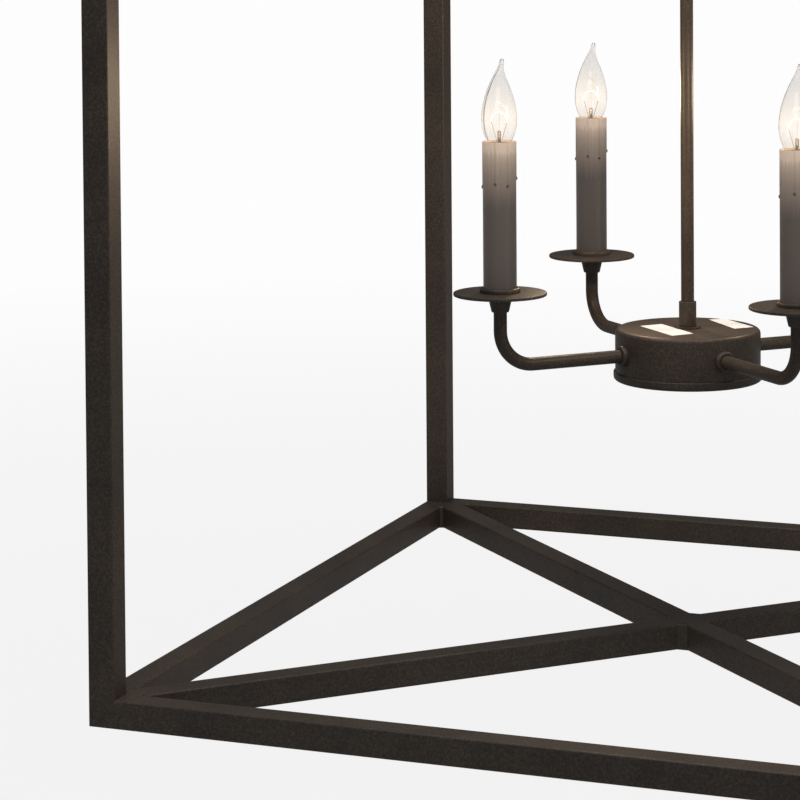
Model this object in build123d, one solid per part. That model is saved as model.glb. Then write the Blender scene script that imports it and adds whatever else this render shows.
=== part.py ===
from build123d import *
from math import atan2, cos, degrees, hypot, pi, radians, sin, sqrt
import os

# Box cage pendant with a cluster of candle lights. Millimetres.
# Origin: centre of the canopy's rim, on the ceiling plane. +Z up, +X along the front rail,
# +Y away from the front. The pendant hangs below the origin.

# ---- driving dimensions: clearances ----
fit = 0.05
run_gap = 0.3
screw_gap = 0.35
over = 1.0  # how far a cutting solid runs past a face

# ---- driving dimensions: cage ----
cage_width = 864.0
cage_depth = 864.0
cage_height = 864.0
tube = 25.4
tube_wall = 1.2
tube_edge_r = 2.0
weld_leg = 6.0

# ---- driving dimensions: pipe thread, nuts and rods ----
pipe_d = 9.8
pipe_wall = 1.65
pipe_grip = 9.0
nut_rim = 2.1
nut_h = 3.0
rod_d = 12.7
rod_wall = 1.2
rod_length = 304.8
rod_grip = 11.0
coupling_wall = 2.15
coupling_h = 24.0
washer_rim = 4.5
washer_t = 2.0
washer_teeth = 24
tooth_depth = 1.1

# ---- driving dimensions: ceiling fitting ----
canopy_d = 127.0
canopy_depth = 25.0
canopy_wall = 1.2
canopy_skirt = 8.0
canopy_flat_d = 44.0
strap_length = 102.0
strap_width = 19.0
strap_t = 2.5
box_screw_spacing = 88.9
box_slot_width = 4.8
box_slot_length = 9.0
ground_screw_x = 22.0
ground_screw_d = 4.2
ground_head_d = 9.0
ground_head_h = 3.0

# ---- driving dimensions: hang-straight swivel ----
yoke_d = 20.0
yoke_body_h = 12.0
yoke_slot = 8.0
pin_d = 5.0
pin_head_rim = 1.5
pin_head_h = 1.6
tongue_r = 8.5
tongue_room = 1.5
ear_rim = 0.5
knuckle_room = 3.0

# ---- driving dimensions: hub ----
hub_d = 142.0
hub_h = 50.5
hub_top_h = 312.5
hub_wall = 1.5
hub_edge_r = 5.0
cover_wall = 1.7
cover_lip_h = 8.5
cover_edge_r = 4.0
cap_nut_rim = 3.1
cap_nut_h = 7.0
cap_nut_edge_r = 2.8

# ---- driving dimensions: arms and candles ----
arm_angles = (225.0, 135.0, 45.0, 315.0)
arm_d = 12.7
arm_drop = 22.5
arm_reach = 203.0
bend_r = 34.0
collar_rim = 3.65
collar_w = 5.0
collar_chamfer = 1.8
cup_rise = 52.0
cup_wall = 1.9
cup_top_d = 24.0
cup_h = 16.0
cup_socket = 10.0
disc_d = 88.9
disc_t = 3.0
ring_rim = 3.1
ring_h = 4.5
ring_floor = 1.2
ring_chamfer = 1.6
sleeve_d = 31.8
sleeve_wall = 0.8
sleeve_length = 142.0
run_r = 0.55
drop_r = 1.4
socket_wall = 1.0
socket_floor = 6.0
socket_rim_drop = 2.5
shell_wall = 0.4
shell_h = 20.0
shell_drop = 1.0
contact_d = 8.0
contact_room = 4.0

# ---- driving dimensions: bulb, with heights above the sleeve's rim ----
base_wall = 0.95
base_rim_drop = 1.5
base_shell_h = 19.5
base_taper_h = 4.0
base_tip_d = 12.0
base_contact_d = 9.5
base_contact_h = 1.5
neck_depth = 13.0
glass_wall = 0.6
belly_d = 33.7
belly_h = 22.0
shoulder_d = 17.6
shoulder_rise = 33.0
tip_neck_d = 7.1
tip_neck_rise = 12.0
tip_neck_lean = 1.0
tip_rise = 9.3
tip_r = 1.7
tip_lean = 3.4
press_d = 5.2
press_drop = 2.0
stem_d = 3.4
stem_h = 10.5
stem_flare_t = 2.0
wire_r = 0.35
wire_foot_drop = 5.0
wire_foot_x = 1.9
wire_top_h = 18.5
wire_top_x = 8.0
filament_rise = 9.0
filament_r = 0.5

# ---- sizes that follow from the pieces they fit ----
pipe_bore = pipe_d - 2 * pipe_wall
nut_across_flats = pipe_d + 2 * nut_rim
rod_bore = rod_d - 2 * rod_wall
coupling_d = rod_d + 2 * coupling_wall
washer_d = coupling_d + 2 * washer_rim
pin_head_d = pin_d + 2 * pin_head_rim
ear_r = tongue_r + ear_rim
pin_drop = tongue_r + tongue_room
knuckle_drop = ear_r + knuckle_room
hub_r = hub_d / 2
hub_inner_r = hub_r - hub_wall
cover_d = hub_d + 2 * (fit + cover_wall)
cap_nut_d = pipe_d + 2 * cap_nut_rim
collar_d = arm_d + 2 * collar_rim
cup_foot_d = arm_d + 2 * cup_wall
sleeve_bore = sleeve_d - 2 * sleeve_wall
ring_d = sleeve_d + 2 * (run_gap + ring_rim)
socket_d = sleeve_bore - 2 * run_gap
socket_bore = socket_d - 2 * socket_wall
shell_d = socket_bore - 2 * fit
shell_bore = shell_d - 2 * shell_wall
base_d = shell_bore - 2 * screw_gap
neck_d = base_d - 2 * (base_wall + fit)

# ---- heights worked out from the ceiling down ----
pin_z = -canopy_depth - yoke_body_h - pin_drop
knuckle_top = pin_z - knuckle_drop
knuckle_bottom = knuckle_top - coupling_h
upper_rod_top = knuckle_bottom + rod_grip
upper_rod_bottom = upper_rod_top - rod_length
coupling_web = coupling_h - 2 * rod_grip
lower_rod_top = upper_rod_bottom - coupling_web
lower_rod_bottom = lower_rod_top - rod_length
frame_top = lower_rod_bottom + rod_grip - coupling_h - washer_t
frame_bottom = frame_top - cage_height
frame_under_brace = frame_top - tube
hub_top = frame_bottom + hub_top_h
cover_bottom = hub_top - hub_h
cover_floor = cover_bottom + hub_wall
arm_z = hub_top - arm_drop
cup_foot = arm_z + cup_rise
arm_top = cup_foot + cup_socket
disc_bottom = cup_foot + cup_h
disc_top = disc_bottom + disc_t
sleeve_foot = disc_top + ring_floor
sleeve_top = sleeve_foot + sleeve_length
base_rim = sleeve_top - base_rim_drop
base_bottom = base_rim - base_shell_h - base_taper_h - base_contact_h
neck_low = base_rim - neck_depth
socket_top = sleeve_top - socket_rim_drop
socket_floor_top = base_bottom - contact_room
socket_bottom = socket_floor_top - socket_floor
shell_top = socket_top - shell_drop
belly_z = sleeve_top + belly_h
shoulder_z = belly_z + shoulder_rise
tip_neck_z = shoulder_z + tip_neck_rise
tip_z = tip_neck_z + tip_rise


def disc(radius, z_low, z_high, x=0.0):
    """Upright cylinder between two heights."""
    height = z_high - z_low
    return Pos(x, 0, z_low) * Cylinder(radius, height, align=(Align.CENTER, Align.CENTER, Align.MIN))


def pipe(outer_r, inner_r, z_low, z_high):
    """Upright tube between two heights, on the Z axis."""
    return disc(outer_r, z_low, z_high) - disc(inner_r, z_low - over, z_high + over)


def turned(points):
    """Solid of revolution about Z from (radius, height) corners."""
    outline = Polyline([(r, 0, z) for r, z in points], close=True)
    return revolve(make_face(outline), Axis.Z)


def hex_nut(z_low):
    nut = RegularPolygon(nut_across_flats / 2, 6, major_radius=False)
    nut = Pos(0, 0, z_low) * extrude(nut, nut_h)
    return nut - disc(pipe_d / 2 + fit, z_low - over, z_low + nut_h + over)


def at_candle(angle, solid):
    """Move a solid from the Z axis to a candle's axis."""
    return Rot(0, 0, angle) * Pos(arm_reach, 0, 0) * solid


# ---- ceiling fitting ----

def mounting_strap():
    bar = SlotOverall(strap_length, strap_width)
    slots = [
        Pos(side * box_screw_spacing / 2, 0) * SlotOverall(box_slot_length, box_slot_width)
        for side in (-1, 1)
    ]
    bar = bar - slots
    bar -= Circle(pipe_d / 2 + fit)
    bar -= Pos(-ground_screw_x, 0) * Circle(ground_screw_d / 2 + fit)
    return Pos(0, 0, -strap_t) * extrude(bar, strap_t)


def ground_screw():
    screw = disc(ground_screw_d / 2, -strap_t, 0)
    screw += Pos(0, 0, -strap_t - ground_head_h) * extrude(
        RegularPolygon(ground_head_d / 2, 6), ground_head_h
    )
    return Pos(-ground_screw_x, 0, 0) * screw


def canopy_half_outline(inset):
    """Half section of the canopy, drawn in by an inset: flat middle, dome and upright skirt."""
    radius = canopy_d / 2 - inset
    bottom = -canopy_depth + inset
    flat_edge = (canopy_flat_d / 2, 0, bottom)
    skirt_foot = (radius, 0, -canopy_skirt)
    dome = TangentArc(flat_edge, skirt_foot, tangent=(1, 0, 0))
    rest = Polyline(skirt_foot, (radius, 0, 0), (0, 0, 0), (0, 0, bottom), flat_edge)
    return make_face([dome, rest])


def canopy():
    shell = revolve(canopy_half_outline(0), Axis.Z)
    shell -= revolve(canopy_half_outline(canopy_wall), Axis.Z)
    return shell - disc(pipe_d / 2 + fit, -canopy_depth - over, 0)


def canopy_nipple():
    return pipe(pipe_d / 2, pipe_bore / 2, -canopy_depth - pipe_grip, 0)


def swivel_yoke():
    """Threaded head with two ears that carry the pin, along X."""
    body_low = -canopy_depth - yoke_body_h
    yoke = disc(yoke_d / 2, body_low, -canopy_depth)
    ear = Pos(0, 0, pin_z) * Rot(0, 90, 0) * Cylinder(ear_r, yoke_d)
    ear += Pos(0, 0, (pin_z + body_low) / 2) * Box(yoke_d, 2 * ear_r, pin_drop)
    yoke += ear & disc(yoke_d / 2, pin_z - ear_r, body_low)
    yoke -= Pos(0, 0, pin_z - ear_r) * Box(
        yoke_slot, yoke_d * 2, pin_drop + ear_r, align=(Align.CENTER, Align.CENTER, Align.MIN)
    )
    yoke -= disc(pipe_d / 2 + fit, -canopy_depth - pipe_grip, -canopy_depth + over)
    yoke -= disc(pipe_bore / 2, body_low - over, -canopy_depth)
    return yoke - Pos(0, 0, pin_z) * Rot(0, 90, 0) * Cylinder(pin_d / 2 + fit, yoke_d * 2)


def swivel_pin():
    pin = Cylinder(pin_d / 2, yoke_d)
    for side in (-1, 1):
        pin += Pos(0, 0, side * (yoke_d + pin_head_h) / 2) * Cylinder(pin_head_d / 2, pin_head_h)
    return Pos(0, 0, pin_z) * Rot(0, 90, 0) * pin


def swivel_knuckle():
    """Tongue on the pin, with a socket below for the rod."""
    tongue_t = yoke_slot - 2 * run_gap
    tongue = Pos(0, 0, pin_z) * Rot(0, 90, 0) * Cylinder(tongue_r, tongue_t)
    tongue += Pos(0, 0, pin_z - knuckle_drop / 2) * Box(tongue_t, 2 * tongue_r, knuckle_drop)
    tongue -= Pos(0, 0, pin_z) * Rot(0, 90, 0) * Cylinder(pin_d / 2 + fit, yoke_d)
    knuckle = tongue + disc(coupling_d / 2, knuckle_bottom, knuckle_top)
    return knuckle - disc(rod_d / 2 + fit, knuckle_bottom - over, upper_rod_top)


# ---- rods, couplings and pipe nipples ----

def rod(z_low, z_high):
    return pipe(rod_d / 2, rod_bore / 2, z_low, z_high)


def rod_coupling():
    low = lower_rod_top - rod_grip
    coupling = pipe(coupling_d / 2, pipe_bore / 2, low, low + coupling_h)
    coupling -= disc(rod_d / 2 + fit, low - over, lower_rod_top)
    return coupling - disc(rod_d / 2 + fit, upper_rod_bottom, low + coupling_h + over)


def stem_coupling():
    """Coupling standing on z = 0: rod in the top, threaded pipe in the bottom."""
    coupling = pipe(coupling_d / 2, pipe_d / 2 + fit, 0, coupling_h)
    return coupling - disc(rod_d / 2 + fit, coupling_h - rod_grip, coupling_h + over)


def stem_couplings():
    """On the cage, under its brace (upside down) and on the hub."""
    return [
        Pos(0, 0, frame_top + washer_t) * stem_coupling(),
        Pos(0, 0, frame_under_brace - washer_t) * Rot(180, 0, 0) * stem_coupling(),
        Pos(0, 0, hub_top + washer_t) * stem_coupling(),
    ]


def toothed_washer(z_low):
    """Washer with a serrated rim."""
    rim = []
    for step in range(2 * washer_teeth):
        radius = washer_d / 2 - tooth_depth * (step % 2)
        angle = pi * step / washer_teeth
        rim.append((radius * cos(angle), radius * sin(angle)))
    washer = make_face(Polyline(rim, close=True)) - Circle(pipe_d / 2 + fit)
    return Pos(0, 0, z_low) * extrude(washer, washer_t)


def toothed_washers():
    levels = (frame_top, frame_under_brace - washer_t, hub_top)
    return [toothed_washer(z) for z in levels]


def frame_nipple():
    reach = washer_t + pipe_grip
    return pipe(pipe_d / 2, pipe_bore / 2, frame_under_brace - reach, frame_top + reach)


# ---- cage of square tube ----

def square_tube(length):
    """Square tube along X, centred on it."""
    section = RectangleRounded(tube, tube, tube_edge_r)
    section -= Rectangle(tube - 2 * tube_wall, tube - 2 * tube_wall)
    return Pos(-length / 2, 0, 0) * extrude(Plane.YZ * section, length)


def mitred_tube(length):
    """Tube along X with its outer corner edge on the X axis and three-way mitred ends."""
    half = length / 2
    bar = Pos(0, tube / 2, tube / 2) * square_tube(length)
    mitre = [(-half, 0), (half, 0), (half - tube, tube), (-half + tube, tube)]
    seen_from_above = make_face(Polyline(mitre, close=True))
    seen_from_front = Plane.XZ * seen_from_above
    bar &= extrude(seen_from_above, tube)
    return bar & extrude(seen_from_front, -tube)


def rails(length, turn, offset_x, offset_y):
    """Bottom and top rail of one side, as (bottom, top)."""
    low = Pos(offset_x, offset_y, frame_bottom) * Rot(0, 0, turn) * mitred_tube(length)
    high = Pos(offset_x, offset_y, frame_top) * Rot(0, 0, turn) * Rot(-90, 0, 0) * mitred_tube(length)
    return low, high


def post(turn, side_x, side_y):
    """Upright tube: the mitred tube on end, turned so its inner faces look into the cage."""
    upright = Rot(0, 0, turn) * Rot(0, -90, 0) * mitred_tube(cage_height)
    return Pos(side_x * cage_width / 2, side_y * cage_depth / 2, frame_bottom + cage_height / 2) * upright


def diagonal_tube(turn, z_low):
    """Square tube on a diagonal of the cage, cut to fit inside its rails."""
    room = Box(cage_width - 2 * tube, cage_depth - 2 * tube, tube)
    bar = Rot(0, 0, turn) * square_tube(hypot(cage_width, cage_depth))
    return Pos(0, 0, z_low + tube / 2) * (bar & room)


diagonal = degrees(atan2(cage_depth, cage_width))


def brace_bar(z_low):
    """The through bar, from the back left corner to the front right one."""
    return diagonal_tube(-diagonal, z_low)


def corner_weld(along, beside, z_low):
    """Weld in a corner of the crossing, between a half bar (along) and the through bar (beside)."""
    spread = radians(abs(along - beside))
    reach = tube / 2 / sin(spread)
    a = Vector(cos(radians(along)), sin(radians(along)), 0)
    b = Vector(cos(radians(beside)), sin(radians(beside)), 0)
    corner = (a + b) * reach
    outline = Polyline(corner, corner + a * weld_leg, corner + b * weld_leg, close=True)
    return Pos(0, 0, z_low + tube_edge_r) * extrude(make_face(outline), tube - 2 * tube_edge_r)


def brace_halves(z_low):
    """The two half bars butted to the through bar, each with the two welds at its end."""
    length = hypot(cage_width, cage_depth)
    through = Pos(0, 0, z_low + tube / 2) * Rot(0, 0, -diagonal) * Box(length, tube, 2 * tube)
    halves = []
    for solid in (diagonal_tube(diagonal, z_low) - through).solids():
        along = diagonal if solid.center().X > 0 else diagonal - 180
        spread = 2 * diagonal
        for beside in (along - spread, along + 180 - spread):
            solid = solid + corner_weld(along, beside, z_low)
        halves.append(solid)
    return halves


def top_brace_bar():
    """Through bar of the top, with the hole for the pipe nipple."""
    hole = disc(pipe_d / 2 + fit, frame_under_brace - over, frame_top + over)
    return brace_bar(frame_under_brace) - hole


# ---- hub ----

def hub_body():
    """Drum, open below, with its top edge rounded."""
    drum = disc(hub_r, cover_floor, hub_top)
    drum = fillet(drum.edges().group_by(Axis.Z)[-1], hub_edge_r)
    cavity = disc(hub_inner_r, cover_floor, hub_top - hub_wall)
    drum -= fillet(cavity.edges().group_by(Axis.Z)[-1], hub_edge_r - hub_wall)
    drum -= disc(pipe_d / 2 + fit, hub_top - 2 * hub_wall, hub_top + over)
    for angle in arm_angles:
        drum -= Rot(0, 0, angle) * Pos(hub_r, 0, arm_z) * Rot(0, 90, 0) * Cylinder(
            pipe_d / 2 + fit, 6 * hub_wall
        )
    return drum


def hub_cover():
    """Dish that closes the hub from below; its lip stands a little proud of the drum."""
    dish = disc(cover_d / 2, cover_bottom, cover_bottom + cover_lip_h)
    dish = fillet(dish.edges().group_by(Axis.Z)[0], cover_edge_r)
    dish -= disc(hub_r + fit, cover_floor, cover_bottom + cover_lip_h + over)
    return dish - disc(pipe_d / 2 + fit, cover_bottom - over, cover_floor + over)


def hub_nipple():
    low = cover_bottom - cap_nut_h / 2
    return pipe(pipe_d / 2, pipe_bore / 2, low, hub_top + washer_t + pipe_grip)


def cover_nut():
    """Low cap nut that holds the cover up."""
    nut = disc(cap_nut_d / 2, cover_bottom - cap_nut_h, cover_bottom)
    nut = fillet(nut.edges().group_by(Axis.Z)[0], cap_nut_edge_r)
    return nut - disc(pipe_d / 2 + fit, cover_bottom - cap_nut_h / 2, cover_bottom + over)


# ---- arms ----

def arm_path(start):
    """Out from the hub, a quarter bend, then up into the candle cup."""
    bend_x = arm_reach - bend_r
    bend_z = arm_z + bend_r
    out = Line((start, 0, arm_z), (bend_x, 0, arm_z))
    half = bend_r * cos(radians(45))
    bend = ThreePointArc(
        (bend_x, 0, arm_z), (bend_x + half, 0, bend_z - half), (arm_reach, 0, bend_z)
    )
    up = Line((arm_reach, 0, bend_z), (arm_reach, 0, arm_top))
    return Wire([out, bend, up])


def swept(radius, start):
    return sweep(Plane((start, 0, arm_z), z_dir=(1, 0, 0)) * Circle(radius), arm_path(start))


def arm(angle):
    """Bent tube, saddle-cut to the hub, with a threaded end inside it."""
    inner_end = hub_inner_r - 2 * nut_h
    tube_part = swept(arm_d / 2, hub_r - over) - disc(hub_r, arm_z - arm_d, arm_z + arm_d)
    thread = Pos(inner_end, 0, arm_z) * Rot(0, 90, 0) * Cylinder(
        pipe_d / 2, hub_r + over - inner_end, align=(Align.CENTER, Align.CENTER, Align.MIN)
    )
    bent = tube_part + thread
    bent -= swept(pipe_bore / 2, inner_end)
    bent -= disc(pipe_d / 2 + fit, arm_top - pipe_grip, arm_top + over, arm_reach)
    return Rot(0, 0, angle) * bent


def arm_collar(angle):
    """Ring with a bevelled front where the arm meets the hub, its back cut to the hub's curve."""
    back = hub_r - over
    front = hub_r + collar_w
    outline = [
        (arm_d / 2 + fit, back),
        (collar_d / 2, back),
        (collar_d / 2, front - collar_chamfer),
        (collar_d / 2 - collar_chamfer, front),
        (arm_d / 2 + fit, front),
    ]
    ring = Pos(0, 0, arm_z) * Rot(0, 90, 0) * turned(outline)
    return Rot(0, 0, angle) * (ring - disc(hub_r, arm_z - collar_d, arm_z + collar_d))


def locknuts():
    """Under the hub's top, on each arm's thread in the hub and on each candle's post."""
    corner_r = nut_across_flats / sqrt(3)
    flat_seat = sqrt(hub_inner_r**2 - corner_r**2) - fit
    nuts = [hex_nut(hub_top - hub_wall - nut_h)]
    for angle in arm_angles:
        on_arm = Pos(flat_seat - nut_h, 0, arm_z) * Rot(0, 90, 0) * hex_nut(0)
        nuts.append(Rot(0, 0, angle) * on_arm)
        nuts.append(at_candle(angle, hex_nut(sleeve_foot)))
    return nuts


# ---- candles ----

def candle_cup():
    """Tapered cup under the disc, bored for the arm's end."""
    outline = [
        (0, cup_foot),
        (cup_foot_d / 2, cup_foot),
        (cup_top_d / 2, disc_bottom),
        (0, disc_bottom),
    ]
    cup = turned(outline) - disc(arm_d / 2 + fit, cup_foot - over, arm_top)
    return cup - disc(pipe_d / 2 + fit, cup_foot, disc_bottom + over)


def bobeche():
    """Flat drip disc."""
    return pipe(disc_d / 2, pipe_d / 2 + fit, disc_bottom, disc_top)


def seat_ring():
    """Ring with a sloping edge that the candle sleeve stands in."""
    hole_r = pipe_d / 2 + fit
    lip_r = sleeve_d / 2 + run_gap
    ring_top = disc_top + ring_h
    outline = [
        (hole_r, disc_top),
        (ring_d / 2, disc_top),
        (ring_d / 2, ring_top - ring_chamfer),
        (ring_d / 2 - ring_chamfer, ring_top),
        (lip_r, ring_top),
        (lip_r, sleeve_foot),
        (hole_r, sleeve_foot),
    ]
    return turned(outline)


def socket_post():
    low = arm_top - pipe_grip
    return pipe(pipe_d / 2, pipe_bore / 2, low, socket_floor_top - over)


def lamp_socket():
    """Insulating cup with the brass contact as a stud on its floor."""
    cup = disc(socket_d / 2, socket_bottom, socket_top)
    cup -= disc(socket_bore / 2, socket_floor_top, socket_top + over)
    cup -= disc(pipe_d / 2 + fit, socket_bottom - over, socket_floor_top - over)
    return cup + disc(contact_d / 2, socket_floor_top, base_bottom - run_gap)


def socket_shell():
    """Brass liner that the bulb screws into."""
    return pipe(shell_d / 2, shell_bore / 2, shell_top - shell_h, shell_top)


# Wax runs: the angle round the sleeve, measured from +X, and how far each one runs down.
run_angles = (17, 62, 110, 157, 202, 275, 318)
run_lengths = (35, 42, 37, 45, 43, 39, 41)


def wax_run(angle, length):
    """Thin run of wax from the rim down, with a drop at its end."""
    surface = sleeve_d / 2 - run_r / 2
    line = disc(run_r, sleeve_top - length, sleeve_top - run_r, surface)
    return Rot(0, 0, angle) * (line + Pos(surface, 0, sleeve_top - length) * Sphere(drop_r))


def candle_sleeve():
    sleeve = disc(sleeve_d / 2, sleeve_foot, sleeve_top)
    for angle, length in zip(run_angles, run_lengths):
        sleeve += wax_run(angle, length)
    return sleeve - disc(sleeve_bore / 2, sleeve_foot - over, sleeve_top + over)


# ---- bulbs ----

def bulb_base():
    """Screw base, hollow above for the glass neck."""
    taper_top = base_rim - base_shell_h
    outline = [
        (0, base_bottom),
        (base_contact_d / 2, base_bottom),
        (base_tip_d / 2, base_bottom + base_contact_h),
        (base_d / 2, taper_top),
        (base_d / 2, base_rim),
        (0, base_rim),
    ]
    return turned(outline) - disc(neck_d / 2 + fit, neck_low - run_gap, base_rim + over)


def glass_body(inset):
    """Flame shape above the neck: a turned belly, then a lofted tip that leans over."""
    neck = (neck_d / 2 - inset, 0, sleeve_top)
    belly = (belly_d / 2 - inset, 0, belly_z)
    shoulder = (shoulder_d / 2 - inset, 0, shoulder_z)
    lower = TangentArc(belly, neck, tangent=(0, 0, -1))
    upper = TangentArc(belly, shoulder, tangent=(0, 0, 1))
    inner = Polyline(shoulder, (0, 0, shoulder_z), (0, 0, sleeve_top), neck)
    body = revolve(make_face([lower, upper, inner]), Axis.Z)
    circles = [
        Pos(0, 0, shoulder_z) * Circle(shoulder_d / 2 - inset),
        Pos(tip_neck_lean, 0, tip_neck_z) * Circle(tip_neck_d / 2 - inset),
        Pos(tip_lean, 0, tip_z) * Circle(tip_r - inset),
    ]
    return body + loft(circles)


def support_wires():
    """Two splayed wires with the filament arched between them."""
    top = sleeve_top + wire_top_h
    arch = ThreePointArc((-wire_top_x, 0, top), (0, 0, top + filament_rise), (wire_top_x, 0, top))
    wires = sweep(Plane(arch @ 0, z_dir=arch % 0) * Circle(filament_r), arch)
    for side in (-1, 1):
        start = Vector(side * wire_foot_x, 0, sleeve_top - wire_foot_drop)
        end = Vector(side * wire_top_x, 0, top)
        wires += extrude(Plane(start, z_dir=end - start) * Circle(wire_r), (end - start).length)
    return wires


def bulb_glass():
    """Envelope with the stem fused in its neck, and the support wires held in that stem."""
    outer = glass_body(0) + disc(neck_d / 2, neck_low, sleeve_top)
    outer += Pos(tip_lean, 0, tip_z) * Sphere(tip_r)
    hollow = glass_body(glass_wall)
    hollow += disc(neck_d / 2 - glass_wall, neck_low + stem_flare_t, sleeve_top)
    glass = outer - hollow
    glass += disc(press_d / 2, neck_low, sleeve_top - press_drop)
    glass += disc(stem_d / 2, neck_low, sleeve_top + stem_h)
    wires = support_wires()
    return [glass - wires, wires]


# ---- writing the parts ----

def all_parts():
    """Every node's name with its shape, or its list of separate solids."""
    front, back = -cage_depth / 2, cage_depth / 2
    left, right = -cage_width / 2, cage_width / 2
    parts = {
        "mounting_strap": mounting_strap(),
        "ground_screw": ground_screw(),
        "canopy_nipple": canopy_nipple(),
        "canopy_locknut": hex_nut(-strap_t - nut_h),
        "canopy": canopy(),
        "swivel_yoke": swivel_yoke(),
        "swivel_pin": swivel_pin(),
        "swivel_knuckle": swivel_knuckle(),
        "upper_rod": rod(upper_rod_bottom, upper_rod_top),
        "rod_coupling": rod_coupling(),
        "lower_rod": rod(lower_rod_bottom, lower_rod_top),
        "stem_couplings": stem_couplings(),
        "toothed_washers": toothed_washers(),
        "frame_nipple": frame_nipple(),
        "post_front_left": post(270, -1, -1),
        "post_front_right": post(0, 1, -1),
        "post_back_right": post(90, 1, 1),
        "post_back_left": post(180, -1, 1),
        "bottom_brace_bar": brace_bar(frame_bottom),
        "bottom_brace_halves": brace_halves(frame_bottom),
        "top_brace_bar": top_brace_bar(),
        "top_brace_halves": brace_halves(frame_under_brace),
        "centre_stem": rod(
            hub_top + washer_t + coupling_h - rod_grip,
            frame_under_brace - washer_t - coupling_h + rod_grip,
        ),
        "hub_nipple": hub_nipple(),
        "hub_body": hub_body(),
        "hub_cover": hub_cover(),
        "cover_nut": cover_nut(),
        "locknuts": locknuts(),
        "arm_collars": [arm_collar(angle) for angle in arm_angles],
    }
    sides = {
        "front": (cage_width, 0, 0, front),
        "back": (cage_width, 180, 0, back),
        "left": (cage_depth, 270, left, 0),
        "right": (cage_depth, 90, right, 0),
    }
    for side, placing in sides.items():
        parts["bottom_rail_" + side], parts["top_rail_" + side] = rails(*placing)
    repeated = {
        "candle_cups": candle_cup(),
        "bobeches": bobeche(),
        "seat_rings": seat_ring(),
        "socket_posts": socket_post(),
        "lamp_sockets": lamp_socket(),
        "socket_shells": socket_shell(),
    }
    for name, solid in repeated.items():
        parts[name] = [at_candle(angle, solid) for angle in arm_angles]
    sleeve = candle_sleeve()
    glass = bulb_glass()
    base = bulb_base()
    for number, angle in enumerate(arm_angles, start=1):
        parts[f"arm_{number}"] = arm(angle)
        parts[f"bulb_base_{number}"] = at_candle(angle, base)
        # The sleeves all face the same way, and the bent tips all lean along +X.
        parts[f"candle_sleeve_{number}"] = at_candle(angle, Rot(0, 0, -angle) * sleeve)
        parts[f"bulb_glass_{number}"] = [
            at_candle(angle, Rot(0, 0, -angle) * solid) for solid in glass
        ]
    return parts


os.makedirs("parts", exist_ok=True)
for name, shape in all_parts().items():
    if isinstance(shape, list):
        shape = Compound(children=[solid for item in shape for solid in item.solids()])
    export_step(shape, f"parts/{name}.step")
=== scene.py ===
"""Box cage pendant with candle lights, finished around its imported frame."""
from math import atan2, cos, degrees, hypot, pi, radians, sin, tau

import bmesh
import bpy
from mathutils import Matrix, Vector


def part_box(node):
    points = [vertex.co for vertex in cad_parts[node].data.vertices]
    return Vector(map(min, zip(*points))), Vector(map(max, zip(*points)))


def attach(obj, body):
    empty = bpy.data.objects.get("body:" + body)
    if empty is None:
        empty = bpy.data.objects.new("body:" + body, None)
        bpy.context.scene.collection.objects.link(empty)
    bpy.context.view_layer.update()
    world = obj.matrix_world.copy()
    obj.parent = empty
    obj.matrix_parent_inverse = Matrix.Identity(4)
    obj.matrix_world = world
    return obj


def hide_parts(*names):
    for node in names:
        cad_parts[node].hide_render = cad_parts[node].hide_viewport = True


bl_info = {
    "name": "Box Cage Pendant",
    "version": (1, 0, 0),
    "blender": (4, 5, 0),
    "location": "3D View > Sidebar > Pendant",
    "description": "Finishes a box cage pendant with candle lights around its frame",
    "category": "Object",
}

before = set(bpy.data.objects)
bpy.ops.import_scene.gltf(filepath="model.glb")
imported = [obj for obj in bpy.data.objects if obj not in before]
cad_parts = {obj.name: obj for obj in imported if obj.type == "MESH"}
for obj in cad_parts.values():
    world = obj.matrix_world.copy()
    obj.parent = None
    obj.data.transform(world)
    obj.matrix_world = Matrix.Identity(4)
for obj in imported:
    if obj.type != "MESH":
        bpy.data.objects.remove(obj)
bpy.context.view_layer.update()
MM = 0.001
UP = Vector((0, 0, 1))


# ---- sizes read from the frame ----

def low(node):
    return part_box(node)[0]


def high(node):
    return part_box(node)[1]


def middle(node):
    """Centre of a node's box."""
    return (low(node) + high(node)) / 2


def width(node):
    """Width of a node's box along X."""
    return high(node).x - low(node).x


CANDLES = (1, 2, 3, 4)
AXES = {n: Vector((middle(f"bulb_base_{n}").x, middle(f"bulb_base_{n}").y, 0)) for n in CANDLES}
ARM_TURNS = {n: atan2(AXES[n].y, AXES[n].x) for n in CANDLES}
REACH = AXES[1].length
SLEEVE_FOOT = low("candle_sleeve_1").z
SLEEVE_TOP = high("candle_sleeve_1").z
DISC_LOW = low("bobeches").z
DISC_TOP = high("bobeches").z
CUP_FOOT = low("candle_cups").z
RING_TOP = high("seat_rings").z
HUB_TOP = high("hub_body").z
HUB_R = width("hub_body") / 2
HUB_FLOOR = low("hub_body").z
COVER_LOW = low("hub_cover").z
COVER_TOP = high("hub_cover").z
COVER_R = width("hub_cover") / 2
FRAME_LOW = low("bottom_rail_front").z
FRAME_TOP = high("top_rail_front").z
TUBE = high("bottom_rail_front").z - FRAME_LOW
HALF_X = -low("bottom_rail_left").x
HALF_Y = -low("bottom_rail_front").y
PIPE_R = width("canopy_nipple") / 2
ROD_R = width("upper_rod") / 2
COUPLING_R = width("rod_coupling") / 2
CANOPY_R = width("canopy") / 2
CANOPY_LOW = low("canopy").z
PIN_Z = middle("swivel_pin").z


# ---- what a user would change ----

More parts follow.
